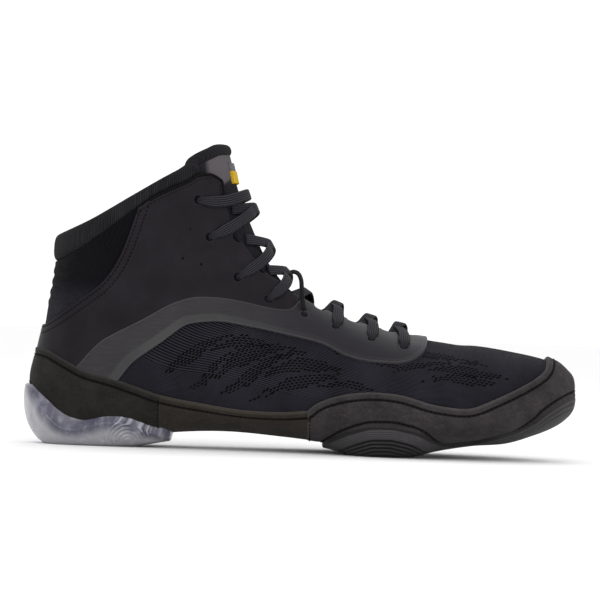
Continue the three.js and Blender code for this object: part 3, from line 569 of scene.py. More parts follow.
class Sheet:
    """A fine net over the face between two rows and two shares round, which can be cut along lines."""

    def __init__(self, rows, vs, step):
        coarse_rows = np.linspace(rows[0], rows[1], 300)
        coarse_vs = np.linspace(vs[0], vs[1], 121)
        row = even_steps(coarse_rows, coarse_vs[::8], step, 0)
        v = even_steps(coarse_rows[::20], np.linspace(vs[0], vs[1], 481), step, 1)
        grid_row, grid_v = np.meshgrid(row, v, indexing="ij")
        self.row, self.v = grid_row.ravel(), grid_v.ravel()
        i, j = np.meshgrid(np.arange(len(row) - 1), np.arange(len(v) - 1), indexing="ij")
        a = (i * len(v) + j).ravel()
        b, c, d = a + 1, a + len(v), a + len(v) + 1
        self.tri = np.concatenate([np.stack([a, b, c], 1), np.stack([b, d, c], 1)])
        self.f = None

    def measure(self, field, lift=1.5, drop=0.0):
        self.f = field(Spot(self.row, self.v, lift, drop=drop))
        self.tri = self.tri[self.f[self.tri].max(1) > -2.5]

    def compact(self):
        used, inverse = np.unique(self.tri, return_inverse=True)
        self.tri = inverse.reshape(-1, 3)
        self.row, self.v, self.f = self.row[used], self.v[used], self.f[used]

    def cut(self, level, snap=0.1):
        """Splits the net along the line where the field has this level."""
        s = self.f - level
        self.f = np.where(np.abs(s) < snap, level, self.f)
        s = self.f - level
        sign = np.sign(s)[self.tri]
        crossed = (sign > 0).any(1) & (sign < 0).any(1)
        work, sign = self.tri[crossed], sign[crossed]
        done = [self.tri[~crossed]]
        zero = sign == 0
        with_zero = zero.any(1)
        lone = np.where((sign.sum(1) > 0)[:, None], sign < 0, sign > 0)
        first = np.where(with_zero, zero.argmax(1), lone.argmax(1))
        turned = work[np.arange(len(work))[:, None], (first[:, None] + np.arange(3)) % 3]
        one = turned[with_zero]
        two = turned[~with_zero]
        pairs = np.concatenate([one[:, [1, 2]], two[:, [0, 1]], two[:, [0, 2]]])
        if len(pairs) == 0:
            return
        low, high = pairs.min(1).astype(np.int64), pairs.max(1).astype(np.int64)
        keys, inverse = np.unique(low * (len(self.f) + 1) + high, return_inverse=True)
        inverse = inverse.reshape(-1)
        a, b = keys // (len(self.f) + 1), keys % (len(self.f) + 1)
        share = s[a] / (s[a] - s[b])
        base = len(self.f)
        self.row = np.concatenate([self.row, self.row[a] + share * (self.row[b] - self.row[a])])
        self.v = np.concatenate([self.v, self.v[a] + share * (self.v[b] - self.v[a])])
        self.f = np.concatenate([self.f, np.full(len(keys), level)])
        fresh = base + inverse
        n1, n2 = len(one), len(two)
        m, p, q = fresh[:n1], fresh[n1:n1 + n2], fresh[n1 + n2:]
        done += [np.stack([one[:, 0], one[:, 1], m], 1), np.stack([one[:, 0], m, one[:, 2]], 1),
                 np.stack([two[:, 0], p, q], 1), np.stack([p, two[:, 1], two[:, 2]], 1),
                 np.stack([p, two[:, 2], q], 1)]
        self.tri = np.concatenate(done)

    def keep_inside(self, level=0.0):
        f = self.f[self.tri]
        self.tri = self.tri[(f.min(1) > level - 1e-6) & (f.max(1) > level + 1e-6)]
        self.compact()

    def border(self, level=0.0):
        """Edges of the net that lie on the level, in the order of their face."""
        edges = np.concatenate([self.tri[:, pair] for pair in ([0, 1], [1, 2], [2, 0])]).astype(np.int64)
        key = edges.min(1) * (len(self.f) + 1) + edges.max(1)
        _, index, count = np.unique(key, return_index=True, return_counts=True)
        alone = edges[index[count == 1]]
        return alone[(np.abs(self.f[alone] - level) < 1e-6).all(1)]


def panel(name, material, slot, nodes, field, rows, vs, step, inner, outer, radius=0.8, wall_share=0.45,
          levels=(0.12, 0.4, 0.8), shape=None, values=None, drop=0.0, backed=False, creased=1.0, finish=None,
          lift=1.5, ledge=False):
    """A piece of even thickness cut from the face along its field, with a rounded edge and a wall."""
    net = Sheet(rows, vs, step)
    net.measure(field, lift, drop)
    net.cut(0.0)
    for level in levels:
        net.cut(level, snap=0.05)
    net.keep_inside(0.0)
    spot = Spot(net.row, net.v, lift, drop=drop)
    rounding = np.sqrt(1 - (1 - np.clip(net.f / radius, 0, 1)) ** 2)
    offset = inner + (outer - inner) * (wall_share + (1 - wall_share) * rounding)
    if shape is not None:
        offset = offset + shape(spot, net.f)
    top = face(net.row, spot.turn, offset, drop, creased)
    edges = net.border(0.0)
    used, inverse = np.unique(edges, return_inverse=True)
    inverse = inverse.reshape(-1, 2)
    low_offset = np.full(len(net.row) if backed else len(used), float(inner))
    if backed:
        low = face(net.row, spot.turn, low_offset, drop, creased)
        low_index = len(top) + edges
        low_faces = len(top) + net.tri[:, ::-1]
        index = np.arange(len(net.row))
    else:
        low = face(net.row[used], spot.turn[used], low_offset - 1.0 * ledge, 0.0 if ledge else drop, creased)
        low_index = len(top) + inverse
        low_faces = np.empty((0, 3), int)
        index = used
    walls = np.concatenate([np.stack([edges[:, 1], edges[:, 0], low_index[:, 0]], 1),
                            np.stack([edges[:, 1], low_index[:, 0], low_index[:, 1]], 1)])
    points = np.concatenate([top, low])
    faces = np.concatenate([net.tri, walls, low_faces])
    if finish is not None:
        points = finish(points)
    kinds = {"edge": net.f}
    if values is not None:
        kinds.update(values(spot, net.f))
    back_edge = np.full(len(index), 0.0 if backed else -1.0)
    columns = [np.concatenate([value, back_edge if key == "edge" else value[index]])
               for key, value in kinds.items()]
    round_mm = np.stack([net.row * ROW_MM, net.v * ROUND_MM], 1)
    uv = np.concatenate([round_mm, round_mm[index]])
    points, faces, extra = weld(points, faces, [*columns, uv])
    made = new_mesh(name, points, faces, material, dict(zip(kinds, extra[:-1])), extra[-1])
    return keep(made, slot, *nodes)


def trace(net, values, level):
    """Lines of rows and shares round along which the values have this level."""
    s = values - level
    corner = s[net.tri] > 0
    mixed = net.tri[corner.any(1) & ~corner.all(1)]
    places, links = {}, {}
    for tri in mixed:
        keys = []
        for a, b in ((tri[0], tri[1]), (tri[1], tri[2]), (tri[2], tri[0])):
            if (s[a] > 0) != (s[b] > 0):
                key = (min(a, b), max(a, b))
                if key not in places:
                    share = s[key[0]] / (s[key[0]] - s[key[1]])
                    places[key] = (net.row[key[0]] + share * (net.row[key[1]] - net.row[key[0]]),
                                   net.v[key[0]] + share * (net.v[key[1]] - net.v[key[0]]))
                keys.append(key)
        links.setdefault(keys[0], []).append(keys[1])
        links.setdefault(keys[1], []).append(keys[0])
    lines, seen = [], set()
    for start in sorted(links, key=lambda k: (len(links[k]) != 1, k)):
        if start in seen:
            continue
        line, current = [], start
        while current is not None:
            seen.add(current)
            line.append(places[current])
            current = next((k for k in links[current] if k not in seen), None)
        lines.append(np.array(line))
    return [line for line in lines if len(line) > 4]


def resample(points, pitch):
    run = run_along(points)
    count = max(int(run[-1] / pitch), 2)
    at = np.linspace(0, run[-1], count + 1)
    return np.stack([np.interp(at, run, points[:, k]) for k in range(points.shape[1])], 1)


def stitch_paths(net, field, level, allowed, offset):
    """Points and normals along a stitch line, where it is allowed."""
    paths = []
    for line in trace(net, field, level):
        spot = Spot(line[:, 0], line[:, 1])
        points = face(spot.row, spot.turn, np.full(len(line), offset))
        rows = resample(np.concatenate([points, spot.n, allowed(spot)[:, None]], 1), 0.3)
        fine = rows[:, 6] > 0
        start = None
        for i in range(len(fine) + 1):
            inside = i < len(fine) and fine[i]
            if inside and start is None:
                start = i
            if not inside and start is not None:
                if i - start > 8:
                    paths.append(rows[start:i, :6])
                start = None
    return paths


def stitches(name, paths, material, slot, pitch=2.5, length=1.8, radius=0.36):
    """Rows of raised stitches along paths."""
    rings = [(-0.5, 0.0, -0.25), (-0.38, 0.75, 0.0), (0.0, 1.0, 0.18), (0.38, 0.75, 0.0), (0.5, 0.0, -0.25)]
    points, faces = [], []
    for path in paths:
        run = run_along(path[:, :3])
        for at in np.arange(pitch / 2, run[-1] - pitch / 2, pitch):
            centre = np.array([np.interp(at, run, path[:, k]) for k in range(6)])
            ahead = np.array([np.interp(at + 0.4, run, path[:, k]) - np.interp(at - 0.4, run, path[:, k])
                              for k in range(3)])
            ahead = ahead / max(np.linalg.norm(ahead), 1e-9)
            up = centre[3:] / np.linalg.norm(centre[3:])
            across = np.cross(up, ahead)
            base = len(points)
            for share, size, rise in rings:
                for k in range(6):
                    angle = k * math.pi / 3
                    points.append(centre[:3] + ahead * share * length + up * rise
                                  + (across * math.cos(angle) + up * math.sin(angle)) * radius * size)
            for ring in range(4):
                for k in range(6):
                    a, b = base + ring * 6 + k, base + ring * 6 + (k + 1) % 6
                    faces.append((a, b, b + 6, a + 6))
    if not points:
        return None
    points = np.array(points)
    quads = np.array(faces)
    tri = np.concatenate([quads[:, :3], quads[:, [0, 2, 3]]])
    points, tri, _ = weld(points, tri, [])
    return keep(new_mesh(name, points, tri, material), slot)


def tube(name, path, normals, material, slot, half_width, half_height, around=8):
    """A thin cord or piping laid along a path of points."""
    ahead = np.gradient(path, axis=0)
    ahead /= np.maximum(np.linalg.norm(ahead, axis=1), 1e-9)[:, None]
    up = normals - ahead * (normals * ahead).sum(1)[:, None]
    up /= np.maximum(np.linalg.norm(up, axis=1), 1e-9)[:, None]
    across = np.cross(up, ahead)
    angle = np.arange(around) * 2 * np.pi / around
    half_width = np.broadcast_to(half_width, len(path))
    half_height = np.broadcast_to(half_height, len(path))
    points = (path[:, None] + across[:, None] * np.cos(angle)[None, :, None] * half_width[:, None, None]
              + up[:, None] * np.sin(angle)[None, :, None] * half_height[:, None, None])
    return keep(sweep(name, points, material), slot)


def sweep(name, rings_points, material, uv=None):
    """A closed skin over rings of points, capped at both ends."""
    count, around = rings_points.shape[:2]
    points = rings_points.reshape(-1, 3)
    i, j = np.meshgrid(np.arange(count - 1), np.arange(around), indexing="ij")
    a = (i * around + j).ravel()
    b = (i * around + (j + 1) % around).ravel()
    quads = np.stack([a, b, b + around, a + around], 1)
    tri = np.concatenate([quads[:, :3], quads[:, [0, 2, 3]]])
    caps = [rings_points[0].mean(0), rings_points[-1].mean(0)]
    k = np.arange(around)
    start_cap = np.stack([(k + 1) % around, k, np.full(around, len(points))], 1)
    last = (count - 1) * around
    end_cap = np.stack([last + k, last + (k + 1) % around, np.full(around, len(points) + 1)], 1)
    points = np.concatenate([points, caps])
    if uv is not None:
        uv = np.concatenate([uv.reshape(-1, 2), uv[0].mean(0)[None], uv[-1].mean(0)[None]])
    return new_mesh(name, points, np.concatenate([tri, start_cap, end_cap]), material, uv=uv)


# Materials
class Value:
    """A number in a material's node tree, which takes ordinary sums."""

    def __init__(self, tree, socket):
        self.tree, self.socket = tree, socket

    def _math(self, operation, *others):
        node = self.tree.nodes.new("ShaderNodeMath")
        node.operation = operation
        for socket, value in zip(node.inputs, (self, *others)):
            if isinstance(value, Value):
                self.tree.links.new(value.socket, socket)
            else:
                socket.default_value = value
        return Value(self.tree, node.outputs[0])

    def __add__(self, other):
        return self._math("ADD", other)

    def __sub__(self, other):
        return self._math("SUBTRACT", other)

    def __mul__(self, other):
        return self._math("MULTIPLY", other)

    def sin(self):
        return self._math("SINE")

    def wave(self):
        """A sine between 0 and 1."""
        return self.sin() * 0.5 + 0.5

    def within(self, low, high):
        """0 below low, 1 above high, smooth between."""
        node = self.tree.nodes.new("ShaderNodeMapRange")
        node.interpolation_type = "SMOOTHSTEP"
        self.tree.links.new(self.socket, node.inputs["Value"])
        node.inputs["From Min"].default_value = low
        node.inputs["From Max"].default_value = high
        return Value(self.tree, node.outputs["Result"])


class Look:
    """A material with a principled shader and a stack of bumps."""

    def __init__(self, name, roughness=0.8, specular=0.35):
        self.material = bpy.data.materials.new(name)
        self.material.use_nodes = True
        self.tree = self.material.node_tree
        self.shader = next(n for n in self.tree.nodes if n.type == "BSDF_PRINCIPLED")
        self.shader.inputs["Roughness"].default_value = roughness
        self.shader.inputs["Specular IOR Level"].default_value = specular
        self.normal = None
        coordinates = self.tree.nodes.new("ShaderNodeTexCoord")
        self.place = coordinates.outputs["Object"]
        self.uv = coordinates.outputs["UV"]

    def split(self, socket):
        node = self.tree.nodes.new("ShaderNodeSeparateXYZ")
        self.tree.links.new(socket, node.inputs[0])
        return [Value(self.tree, out) for out in node.outputs]

    def attribute(self, name):
        node = self.tree.nodes.new("ShaderNodeAttribute")
        node.attribute_name = name
        return Value(self.tree, node.outputs["Fac"])

    def stretched(self, x, y, z):
        node = self.tree.nodes.new("ShaderNodeMapping")
        node.inputs["Scale"].default_value = (x, y, z)
        self.tree.links.new(self.place, node.inputs["Vector"])
        return node.outputs[0]

    def noise(self, size_mm, detail=4.0, roughness=0.6, vector=None):
        node = self.tree.nodes.new("ShaderNodeTexNoise")
        node.inputs["Scale"].default_value = 1000.0 / size_mm
        node.inputs["Detail"].default_value = detail
        node.inputs["Roughness"].default_value = roughness
        self.tree.links.new(vector or self.place, node.inputs["Vector"])
        return Value(self.tree, node.outputs["Fac"])

    def cells(self, size_mm):
        node = self.tree.nodes.new("ShaderNodeTexVoronoi")
        node.inputs["Scale"].default_value = 1000.0 / size_mm
        self.tree.links.new(self.place, node.inputs["Vector"])
        return Value(self.tree, node.outputs["Distance"])

    def colour(self, base, *mixes):
        """Base colour, then (amount value, colour) mixed over it in turn."""
        current = None
        for amount, tint in mixes:
            node = self.tree.nodes.new("ShaderNodeMix")
            node.data_type = "RGBA"
            self.tree.links.new(amount.socket, node.inputs["Factor"])
            if current is None:
                node.inputs["A"].default_value = (*base, 1)
            else:
                self.tree.links.new(current, node.inputs["A"])
            node.inputs["B"].default_value = (*tint, 1)
            current = node.outputs["Result"]
        if current is None:
            self.shader.inputs["Base Color"].default_value = (*base, 1)
        else:
            self.tree.links.new(current, self.shader.inputs["Base Color"])

    def bump(self, value, height_mm, strength=1.0):
        node = self.tree.nodes.new("ShaderNodeBump")
        node.inputs["Distance"].default_value = height_mm / 1000
        node.inputs["Strength"].default_value = strength
        self.tree.links.new(value.socket, node.inputs["Height"])
        if self.normal is not None:
            self.tree.links.new(self.normal, node.inputs["Normal"])
        self.normal = node.outputs["Normal"]
        self.tree.links.new(self.normal, self.shader.inputs["Normal"])

    def drive(self, name, value):
        self.tree.links.new(value.socket, self.shader.inputs[name])

    def put(self, name, value):
        self.shader.inputs[name].default_value = value


def rgb(red, green, blue):
    """Linear colour of an 8-bit screen colour."""
    return tuple(((c / 255 + 0.055) / 1.055) ** 2.4 if c > 10 else c / 255 / 12.92
                 for c in (red, green, blue))


TURN = 2 * math.pi


def knit_look(name, base, light, course=0.75, wale=0.95, height=0.16, shade=0.0):
    """Fine courses along the shoe, crossed by wales."""
    look = Look(name, roughness=0.95, specular=0.05)
    _, v, _ = look.split(look.uv)
    x, _, z = look.split(look.place)
    wales = ((x * (TURN * 1000 / wale)) + (v * (TURN / (2 * course))).sin() * 0.8).wave()
    courses = (v * (TURN / course) + wales * 1.1).wave()
    look.bump(courses * 0.75 + wales * 0.35, height)
    patches = look.noise(22, detail=3).within(0.35, 0.7)
    fuzz = look.noise(0.35, detail=2).within(0.5, 0.75)
    shaft = z.within(0.072, 0.088)
    satin = look.attribute("satin")
    look.colour(base, (courses.within(0.45, 1.0) * 0.85, light), (patches * 0.25, light),
                (fuzz * 0.25, light), (shaft * shade, rgb(7, 7, 9)), (satin * 0.8, rgb(92, 88, 92)))
    look.put("Sheen Weight", 0.03)
    look.put("Sheen Roughness", 0.4)
    return look.material


def suede_look(name, base, light, edge_tone):
    """Short nap with cloudy brushing, a paler raw edge, a few scuffs and painted shade along the stitch
    dents.
    """
    look = Look(name, roughness=0.95, specular=0.06)
    edge = look.attribute("edge")
    # The near-black band along the stitch dents is painted shade.
    seam = (look.attribute("seam") * -1.0).within(-1.1, -0.3)
    nap = look.noise(0.55, detail=6, roughness=0.75)
    fine = look.noise(0.18, detail=3)
    clouds = look.noise(14, detail=5, roughness=0.65)
    brushed = look.noise(4.5, detail=4, vector=look.stretched(1, 1, 2.2))
    scuffs = look.noise(30, detail=8, roughness=0.8).within(0.62, 0.72)
    # The lighter band along the rolled edge is a painted highlight; the raw mix is the paler raw edge
    # itself.
    edge_highlight = (edge * -1.0 + 1.0).within(-0.9, 0.6)
    raw = (edge * -1.0).within(-0.15, 0.2)
    look.bump(nap, 0.32, 0.9)
    look.bump(fine, 0.1, 0.7)
    look.bump(clouds, 0.8, 0.5)
    look.colour(base, (clouds.within(0.3, 0.8) * 0.5, light), (brushed.within(0.45, 0.8) * 0.35, light),
                (nap.within(0.45, 0.75) * 0.75, light), (nap.within(0.5, 0.25) * 0.5, rgb(12, 11, 11)),
                (fine.within(0.5, 0.7) * 0.35, light), (scuffs * 0.2, edge_tone), (edge_highlight * 0.2, edge_tone),
                (raw * 0.5, edge_tone), (seam * 0.8, rgb(9, 8, 8)))
    look.put("Sheen Weight", 0.06)
    look.put("Sheen Roughness", 0.35)
    return look.material


def synthetic_look(name, base, light, roughness=0.5):
    """Smooth coated microfibre with a faint grain and cloudy gloss."""
    look = Look(name, roughness=roughness, specular=0.11)
    edge = look.attribute("edge")
    grain = look.cells(0.55)
    clouds = look.noise(18, detail=5, roughness=0.6)
    marks = look.noise(2.2, detail=6, roughness=0.7)
    look.bump(grain, 0.05, 0.8)
    look.bump(marks, 0.12, 0.5)
    look.bump(clouds, 0.7, 0.4)
    # The lighter band along the rounded edge is a painted highlight.
    edge_highlight = (edge * -1.0 + 1.0).within(-0.2, 0.7)
    look.colour(base, (clouds.within(0.35, 0.75) * 0.7, light), (marks.within(0.55, 0.8) * 0.3, light),
                (edge_highlight * 0.6, light))
    look.drive("Roughness", clouds * 0.22 + (roughness - 0.08))
    return look.material


def band_look(name):
    """Brushed grey strip in two tones, the lower one paler, with a painted highlight along its edge."""
    look = Look(name, roughness=0.5, specular=0.13)
    edge = look.attribute("edge")
    low = look.attribute("low")
    split = look.attribute("split")
    brushed = look.noise(1.1, detail=5, vector=look.stretched(0.12, 1, 1.6))
    clouds = look.noise(20, detail=4)
    pale = split.within(-0.5, 0.7)
    edge_highlight = (edge * -1.0 + 1.0).within(-0.1, 0.65)
    fade = low.within(0.0, 1.0)
    look.bump(brushed, 0.09, 0.8)
    look.bump(look.cells(0.5), 0.03, 0.6)
    look.bump(pale, 0.25, 0.7)
    x, _, _ = look.split(look.place)
    front = x.within(-0.075, 0.025)
    look.colour(rgb(42, 40, 43), (pale * 0.75, rgb(60, 60, 60)),
                (brushed.within(0.42, 0.75) * 0.35, rgb(64, 63, 63)),
                (clouds.within(0.4, 0.7) * 0.35, rgb(40, 38, 40)), (fade * 0.3, rgb(37, 36, 37)),
                (front * 0.85, rgb(27, 25, 30)), (edge_highlight * 0.4, rgb(74, 71, 73)))
    look.drive("Roughness", clouds * 0.25 + 0.38)
    return look.material


def lace_look(name, base, light):
    """Flat woven lace, ribbed along its length."""
    look = Look(name, roughness=0.85, specular=0.08)
    u, v, _ = look.split(look.uv)
    weave = ((u * (TURN / 0.9)) + (v * (TURN / 1.1)).sin() * 1.4).wave()
    ribs = (v * (TURN / 1.1)).wave()
    look.bump(weave * 0.5 + ribs * 0.6, 0.16)
    look.bump(look.noise(0.3, detail=3), 0.06)
    look.colour(base, (ribs.within(0.35, 1.0) * 0.7, light), (weave.within(0.5, 1.0) * 0.35, light))
    look.put("Sheen Weight", 0.03)
    return look.material


def rubber_look(name, base, light, edge_tone, roughness=0.6):
    """Dusty moulded rubber, with grooves at the ball and lines round the toe, painted dark as shade in their
    hollows.
    """
    look = Look(name, roughness=roughness, specular=0.2)
    edge = look.attribute("edge")
    ribs = look.attribute("ribs")
    deep = look.attribute("deep")
    # The near-black ball grooves are painted shade in their hollows.
    groove = ((deep - FIRST_GROOVE) * (TURN / RIB_PITCH) + math.pi / 2).sin().within(-0.45, 0.2)
    groove = groove * ribs * deep.within(FIRST_GROOVE - 0.7, FIRST_GROOVE - 0.6)
    faint = (deep * (TURN / 0.95)).sin().within(-0.2, 0.8) * ribs
    faint = faint * (deep * -1.0).within(-FIRST_GROOVE + 0.9, -FIRST_GROOVE + 1.2) * deep.within(1.0, 1.4)
    # The dark toe lines are painted shade in their hollows.
    line = edge.within(2.2, 2.5) * (edge * -1.0).within(-3.2, -2.9) * look.attribute("toe")
    tread = edge.within(6.2, 6.5) * (edge * -1.0).within(-7.6, -7.2) * look.attribute("toe")
    line = line + tread
    dust = look.noise(9, detail=8, roughness=0.75)
    skin = look.noise(0.4, detail=3)
    _, _, z = look.split(look.place)
    dirt = (z * -1000.0).within(-7.0, 0.0)
    # The lighter band along the rounded upper edge is a painted highlight.
    edge_highlight = (edge * -1.0 + 1.0).within(-0.4, 0.7)
    look.bump(skin, 0.05, 0.8)
    look.bump(dust, 0.25, 0.4)
    look.bump(groove * -1.0, 0.9)
    look.bump(faint, 0.15)
    look.bump(line * -1.0, 0.5)
    # The near-black band at the rubber's very edge and wall is painted shade where it meets the suede.
    gap = (edge * -1.0).within(-0.75, -0.3)
    look.colour(base, (dust.within(0.45, 0.75) * 0.55, light), (dirt * dust * 0.3, rgb(74, 69, 65)),
                (edge_highlight * 0.15, edge_tone), (gap * 0.8, rgb(11, 11, 12)), (faint * 0.35, edge_tone),
                (groove * 0.97, rgb(3, 3, 4)), (line * 0.8, rgb(12, 12, 13)))
    look.drive("Roughness", dust * 0.3 + (roughness - 0.12))
    return look.material


def clear_rubber_look(name):
    """Cloudy translucent rubber: paler where it is thick, with inner streaks and moulded arcs."""
    look = Look(name, roughness=0.25, specular=0.3)
    edge = look.attribute("edge")
    arc = look.attribute("arc")
    streaks = look.noise(5.0, detail=5, vector=look.stretched(1.0, 1.0, 0.45))
    cloud = look.noise(12, detail=3)
    dust = look.noise(1.0, detail=5)
    deep = edge.within(0.5, 9.0)
    look.bump(arc, 0.5, 0.9)
    look.bump(streaks, 0.35, 0.5)
    look.bump(dust, 0.03, 0.5)
    look.colour(rgb(70, 69, 84), (deep * 0.9, rgb(152, 152, 156)),
                (streaks.within(0.42, 0.8) * 0.4, rgb(184, 184, 192)),
                (cloud.within(0.45, 0.8) * 0.3, rgb(98, 96, 114)),
                (arc.within(0.6, 1.0) * 0.35, rgb(196, 196, 206)),
                (dust.within(0.6, 0.75) * 0.25, rgb(110, 102, 92)))
    look.put("Subsurface Weight", 0.35)
    look.put("Subsurface Radius", (0.9, 0.9, 1.2))
    look.put("Subsurface Scale", 0.003)
    look.put("Coat Weight", 0.25)
    look.put("Coat Roughness", 0.12)
    return look.material


def plain_look(name, base, light, roughness=0.9, size=0.6):
    look = Look(name, roughness=roughness, specular=0.05)
    weave = look.noise(size, detail=4)
    look.bump(weave, 0.12, 0.8)
    look.colour(base, (weave.within(0.45, 0.7) * 0.6, light))
    return look.material


def woven_look(name, base, light, thread):
    """Flat weave of a label, in fine crossing threads."""
    look = Look(name, roughness=0.75, specular=0.12)
    x, y, z = look.split(look.place)
    warp = (y * (TURN * 1000 / thread)).wave()
    weft = ((z + x) * (TURN * 1000 / thread)).wave()
    twill = ((z + x + y) * (TURN * 1000 / (4 * thread))).wave()
    look.bump(warp * 0.5 + weft * 0.5, 0.08)
    look.colour(base, (weft.within(0.4, 1.0) * 0.5, light), (twill.within(0.3, 0.9) * 0.4, light))
    return look.material


mesh_look = knit_look("mesh", rgb(8, 8, 11), rgb(48, 47, 55), shade=0.85)
tongue_look = knit_look("tongue knit", rgb(20, 19, 22), rgb(44, 42, 48), course=0.6, wale=1.1, height=0.14)
cuff_look = knit_look("cuff knit", rgb(17, 17, 18), rgb(42, 40, 43), course=0.9, wale=0.9, height=0.2)
lining_look = plain_look("lining", rgb(13, 13, 15), rgb(28, 28, 31))
heel_suede = suede_look("heel suede", rgb(26, 25, 25), rgb(47, 46, 44), rgb(76, 74, 71))
arch_suede = suede_look("arch suede", rgb(34, 31, 28), rgb(58, 53, 48), rgb(84, 78, 72))
toe_suede = suede_look("toe suede", rgb(34, 32, 33), rgb(70, 66, 67), rgb(94, 89, 88))
ankle_look = synthetic_look("ankle synthetic", rgb(16, 13, 17), rgb(29, 25, 31))
grey_band_look = band_look("grey band")
lace_material = lace_look("lace", rgb(11, 11, 13), rgb(60, 58, 64))
thread_look = plain_look("thread", rgb(8, 7, 7), rgb(20, 18, 18), roughness=0.6, size=0.3)
# Near-black painted shade, for the insides of the mesh slots and the pinholes.
hole_shade_look = plain_look("hole", rgb(3, 3, 4), rgb(7, 7, 8))
piping_look = plain_look("piping", rgb(9, 9, 10), rgb(24, 22, 25), roughness=0.65)
heel_rubber_look = clear_rubber_look("heel rubber")
outsole_look = rubber_look("outsole rubber", rgb(45, 43, 45), rgb(70, 66, 70), rgb(90, 87, 89))
label_look = woven_look("label weave", rgb(70, 68, 74), rgb(122, 118, 124), 0.45)
mustard_look = woven_look("mustard weave", rgb(168, 132, 20), rgb(214, 178, 52), 0.45)

# The slack lace bar, a cord
bar_path = loose_route()
bar_up = np.gradient(bar_path, axis=0)
bar_up = np.cross(bar_up / np.linalg.norm(bar_up, axis=1)[:, None], np.array([1.0, 0.0, 0.0]))
slack = tube("slack_lace", bar_path, bar_up, lace_material, "lace", LOOSE_SIZE / 2, LOOSE_SIZE / 2,
             around=12)
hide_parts("lace_loose_bar")

# Lines and fields of the pieces
band_top, band_low = Line(BAND_TOP_LINE), Line(BAND_LOW_LINE)
heel_top = Line(HEEL_TOP_LINE + ARCH_TOP_LINE[1:])
arch_top = Line([HEEL_TOP_LINE[-2]] + ARCH_TOP_LINE, extend=6)
fore_top = Line(FOREFOOT_TOP_LINE, extend=12)
wave, lobe = Line(WAVE_LINE, extend=20), Line(LOBE_LINE, extend=20)
corner_line, tongue_top = Line(THROAT_CORNER), Line(TONGUE_TOP_LINE)


def above_face(row, turn):
    spot = Spot(np.array([row]), None, turn=np.array([turn]))
    return spot.base[0] + spot.n[0] * 1.2


eyelet_centres = [above_face(row, at) for row, turn in eyelets for at in (turn, 1 - turn)]
between_eyelets = [(upper[0] + lower[0]) / 2 for upper, lower in zip(eyelets[1:], eyelets[2:])]
scallop_centres = [above_face(row, 0.5 + side * throat_reach(row))
                   for row in between_eyelets for side in (-1, 1)]

edge_rows = np.linspace(7.0, LAST_ROW, 200)
edge_turns = 0.5 + throat_reach(edge_rows)
edge_step = last_point(edge_rows, edge_turns + 0.003) - last_point(edge_rows, edge_turns - 0.003)
mm_per_turn = np.linalg.norm(edge_step, axis=1) / 0.006


def inside_reach(spot, reach):
    """How far inside a reach to both sides of the ridge, in millimetres."""
    return (reach - np.abs(spot.turn - 0.5)) * np.interp(spot.row, edge_rows, mm_per_turn)


def off_throat(spot):
    """How far outside the throat opening, over the face."""
    side = -inside_reach(spot, throat_reach(spot.row))
    ahead = (THROAT_REACH[0, 0] - spot.row) * MM_PER_ROW_AT_VAMP
    return np.where(spot.row > THROAT_REACH[0, 0], side, np.maximum(side, ahead))


def off_circles(spot, centres, radius):
    return least(*(np.linalg.norm(spot.p - centre, axis=-1) for centre in centres)) - radius


def off_holes(spot):
    """How far outside the eyelets and the scallops between them."""
    return np.minimum(off_circles(spot, eyelet_centres, EYELET_RADIUS),
                      off_circles(spot, scallop_centres, SCALLOP_RADIUS))


def off_corner(spot):
    """How far outside the cut at the throat's upper corner."""
    return np.where(spot.p[..., 0] < CORNER_END * LENGTH, -corner_line.side(spot), 50.0)


def before_x(spot, x):
    """How far behind a plane across the shoe, over the face."""
    return (x - spot.p[..., 0]) / np.sqrt(np.clip(1 - spot.n[..., 0] ** 2, 0.1, 1))


heel_seam_x = HEEL_SEAM * LENGTH
fore_seam_x = FOREFOOT_SEAM * LENGTH


def ankle_field(spot):
    return least(rear_edge.side(spot), -cuff_seam.side(spot) - GAP, off_throat(spot), off_corner(spot),
                 band_top.side(spot) + UNDERLAP, heel_top.side(spot) + UNDERLAP,
                 before_x(spot, WRAP_END * LENGTH), off_holes(spot))


def band_field(spot):
    return least(-band_top.side(spot), band_low.side(spot), off_throat(spot),
                 heel_top.side(spot) + UNDERLAP, off_holes(spot))


def heel_field(spot):
    return least(-heel_top.side(spot), before_x(spot, heel_seam_x), wave.side(spot) + 1.0)


def arch_field(spot):
    return least(-arch_top.side(spot), -before_x(spot, heel_seam_x + GAP - 3.0),
                 before_x(spot, fore_seam_x + 3.0), wave.side(spot) + 1.0, lobe.side(spot) + 1.0)


def fore_field(spot):
    return least(-fore_top.side(spot), -before_x(spot, fore_seam_x + GAP), lobe.side(spot) + 1.0)


def upper_field(spot):
    return least(-cuff_seam.side(spot) + 0.6, off_throat(spot), off_corner(spot))


def dent(distance, at, width, depth):
    return -depth * np.exp(-((distance - at) / width) ** 2)


def stitch_shade_value(lines):
    """How far from the nearest stitch line, where the suede is pulled down and painted dark as shade."""
    def value(spot, f):
        return {"seam": least(*(np.abs(sign * line.side(spot) - inset) for line, sign, inset in lines))}
    return value


def suede_shape(lines):
    """The suede drawn in at its stitch lines and rolled at its edges."""
    def shape(spot, f):
        total = 0.0
        for line, sign, inset in lines:
            near = sign * line.side(spot)
            total = total + dent(near, inset, 0.7, 0.4) + 0.18 * np.exp(-((near - 1.0) / 0.9) ** 2)
        return total
    return shape


HEEL_SEAMS = [(heel_top, -1, STITCH_IN), (wave, 1, 2.4)]
ARCH_SEAMS = [(arch_top, -1, STITCH_IN)]
TOE_SEAMS = [(fore_top, -1, STITCH_IN), (lobe, 1, 3.6)]


def rear_seams(spot, f):
    """Two sewn lines beside the wrap's rear edge."""
    away = rear_edge.side(spot)
    return dent(away, 1.6, 0.5, 0.28) + dent(away, 4.8, 0.5, 0.28)


def band_values(spot, f):
    return {"split": 6.0 - band_low.side(spot) - 0.02 * spot.p[..., 0],
            "low": -band_top.side(spot) * -0.25 + 1.0}


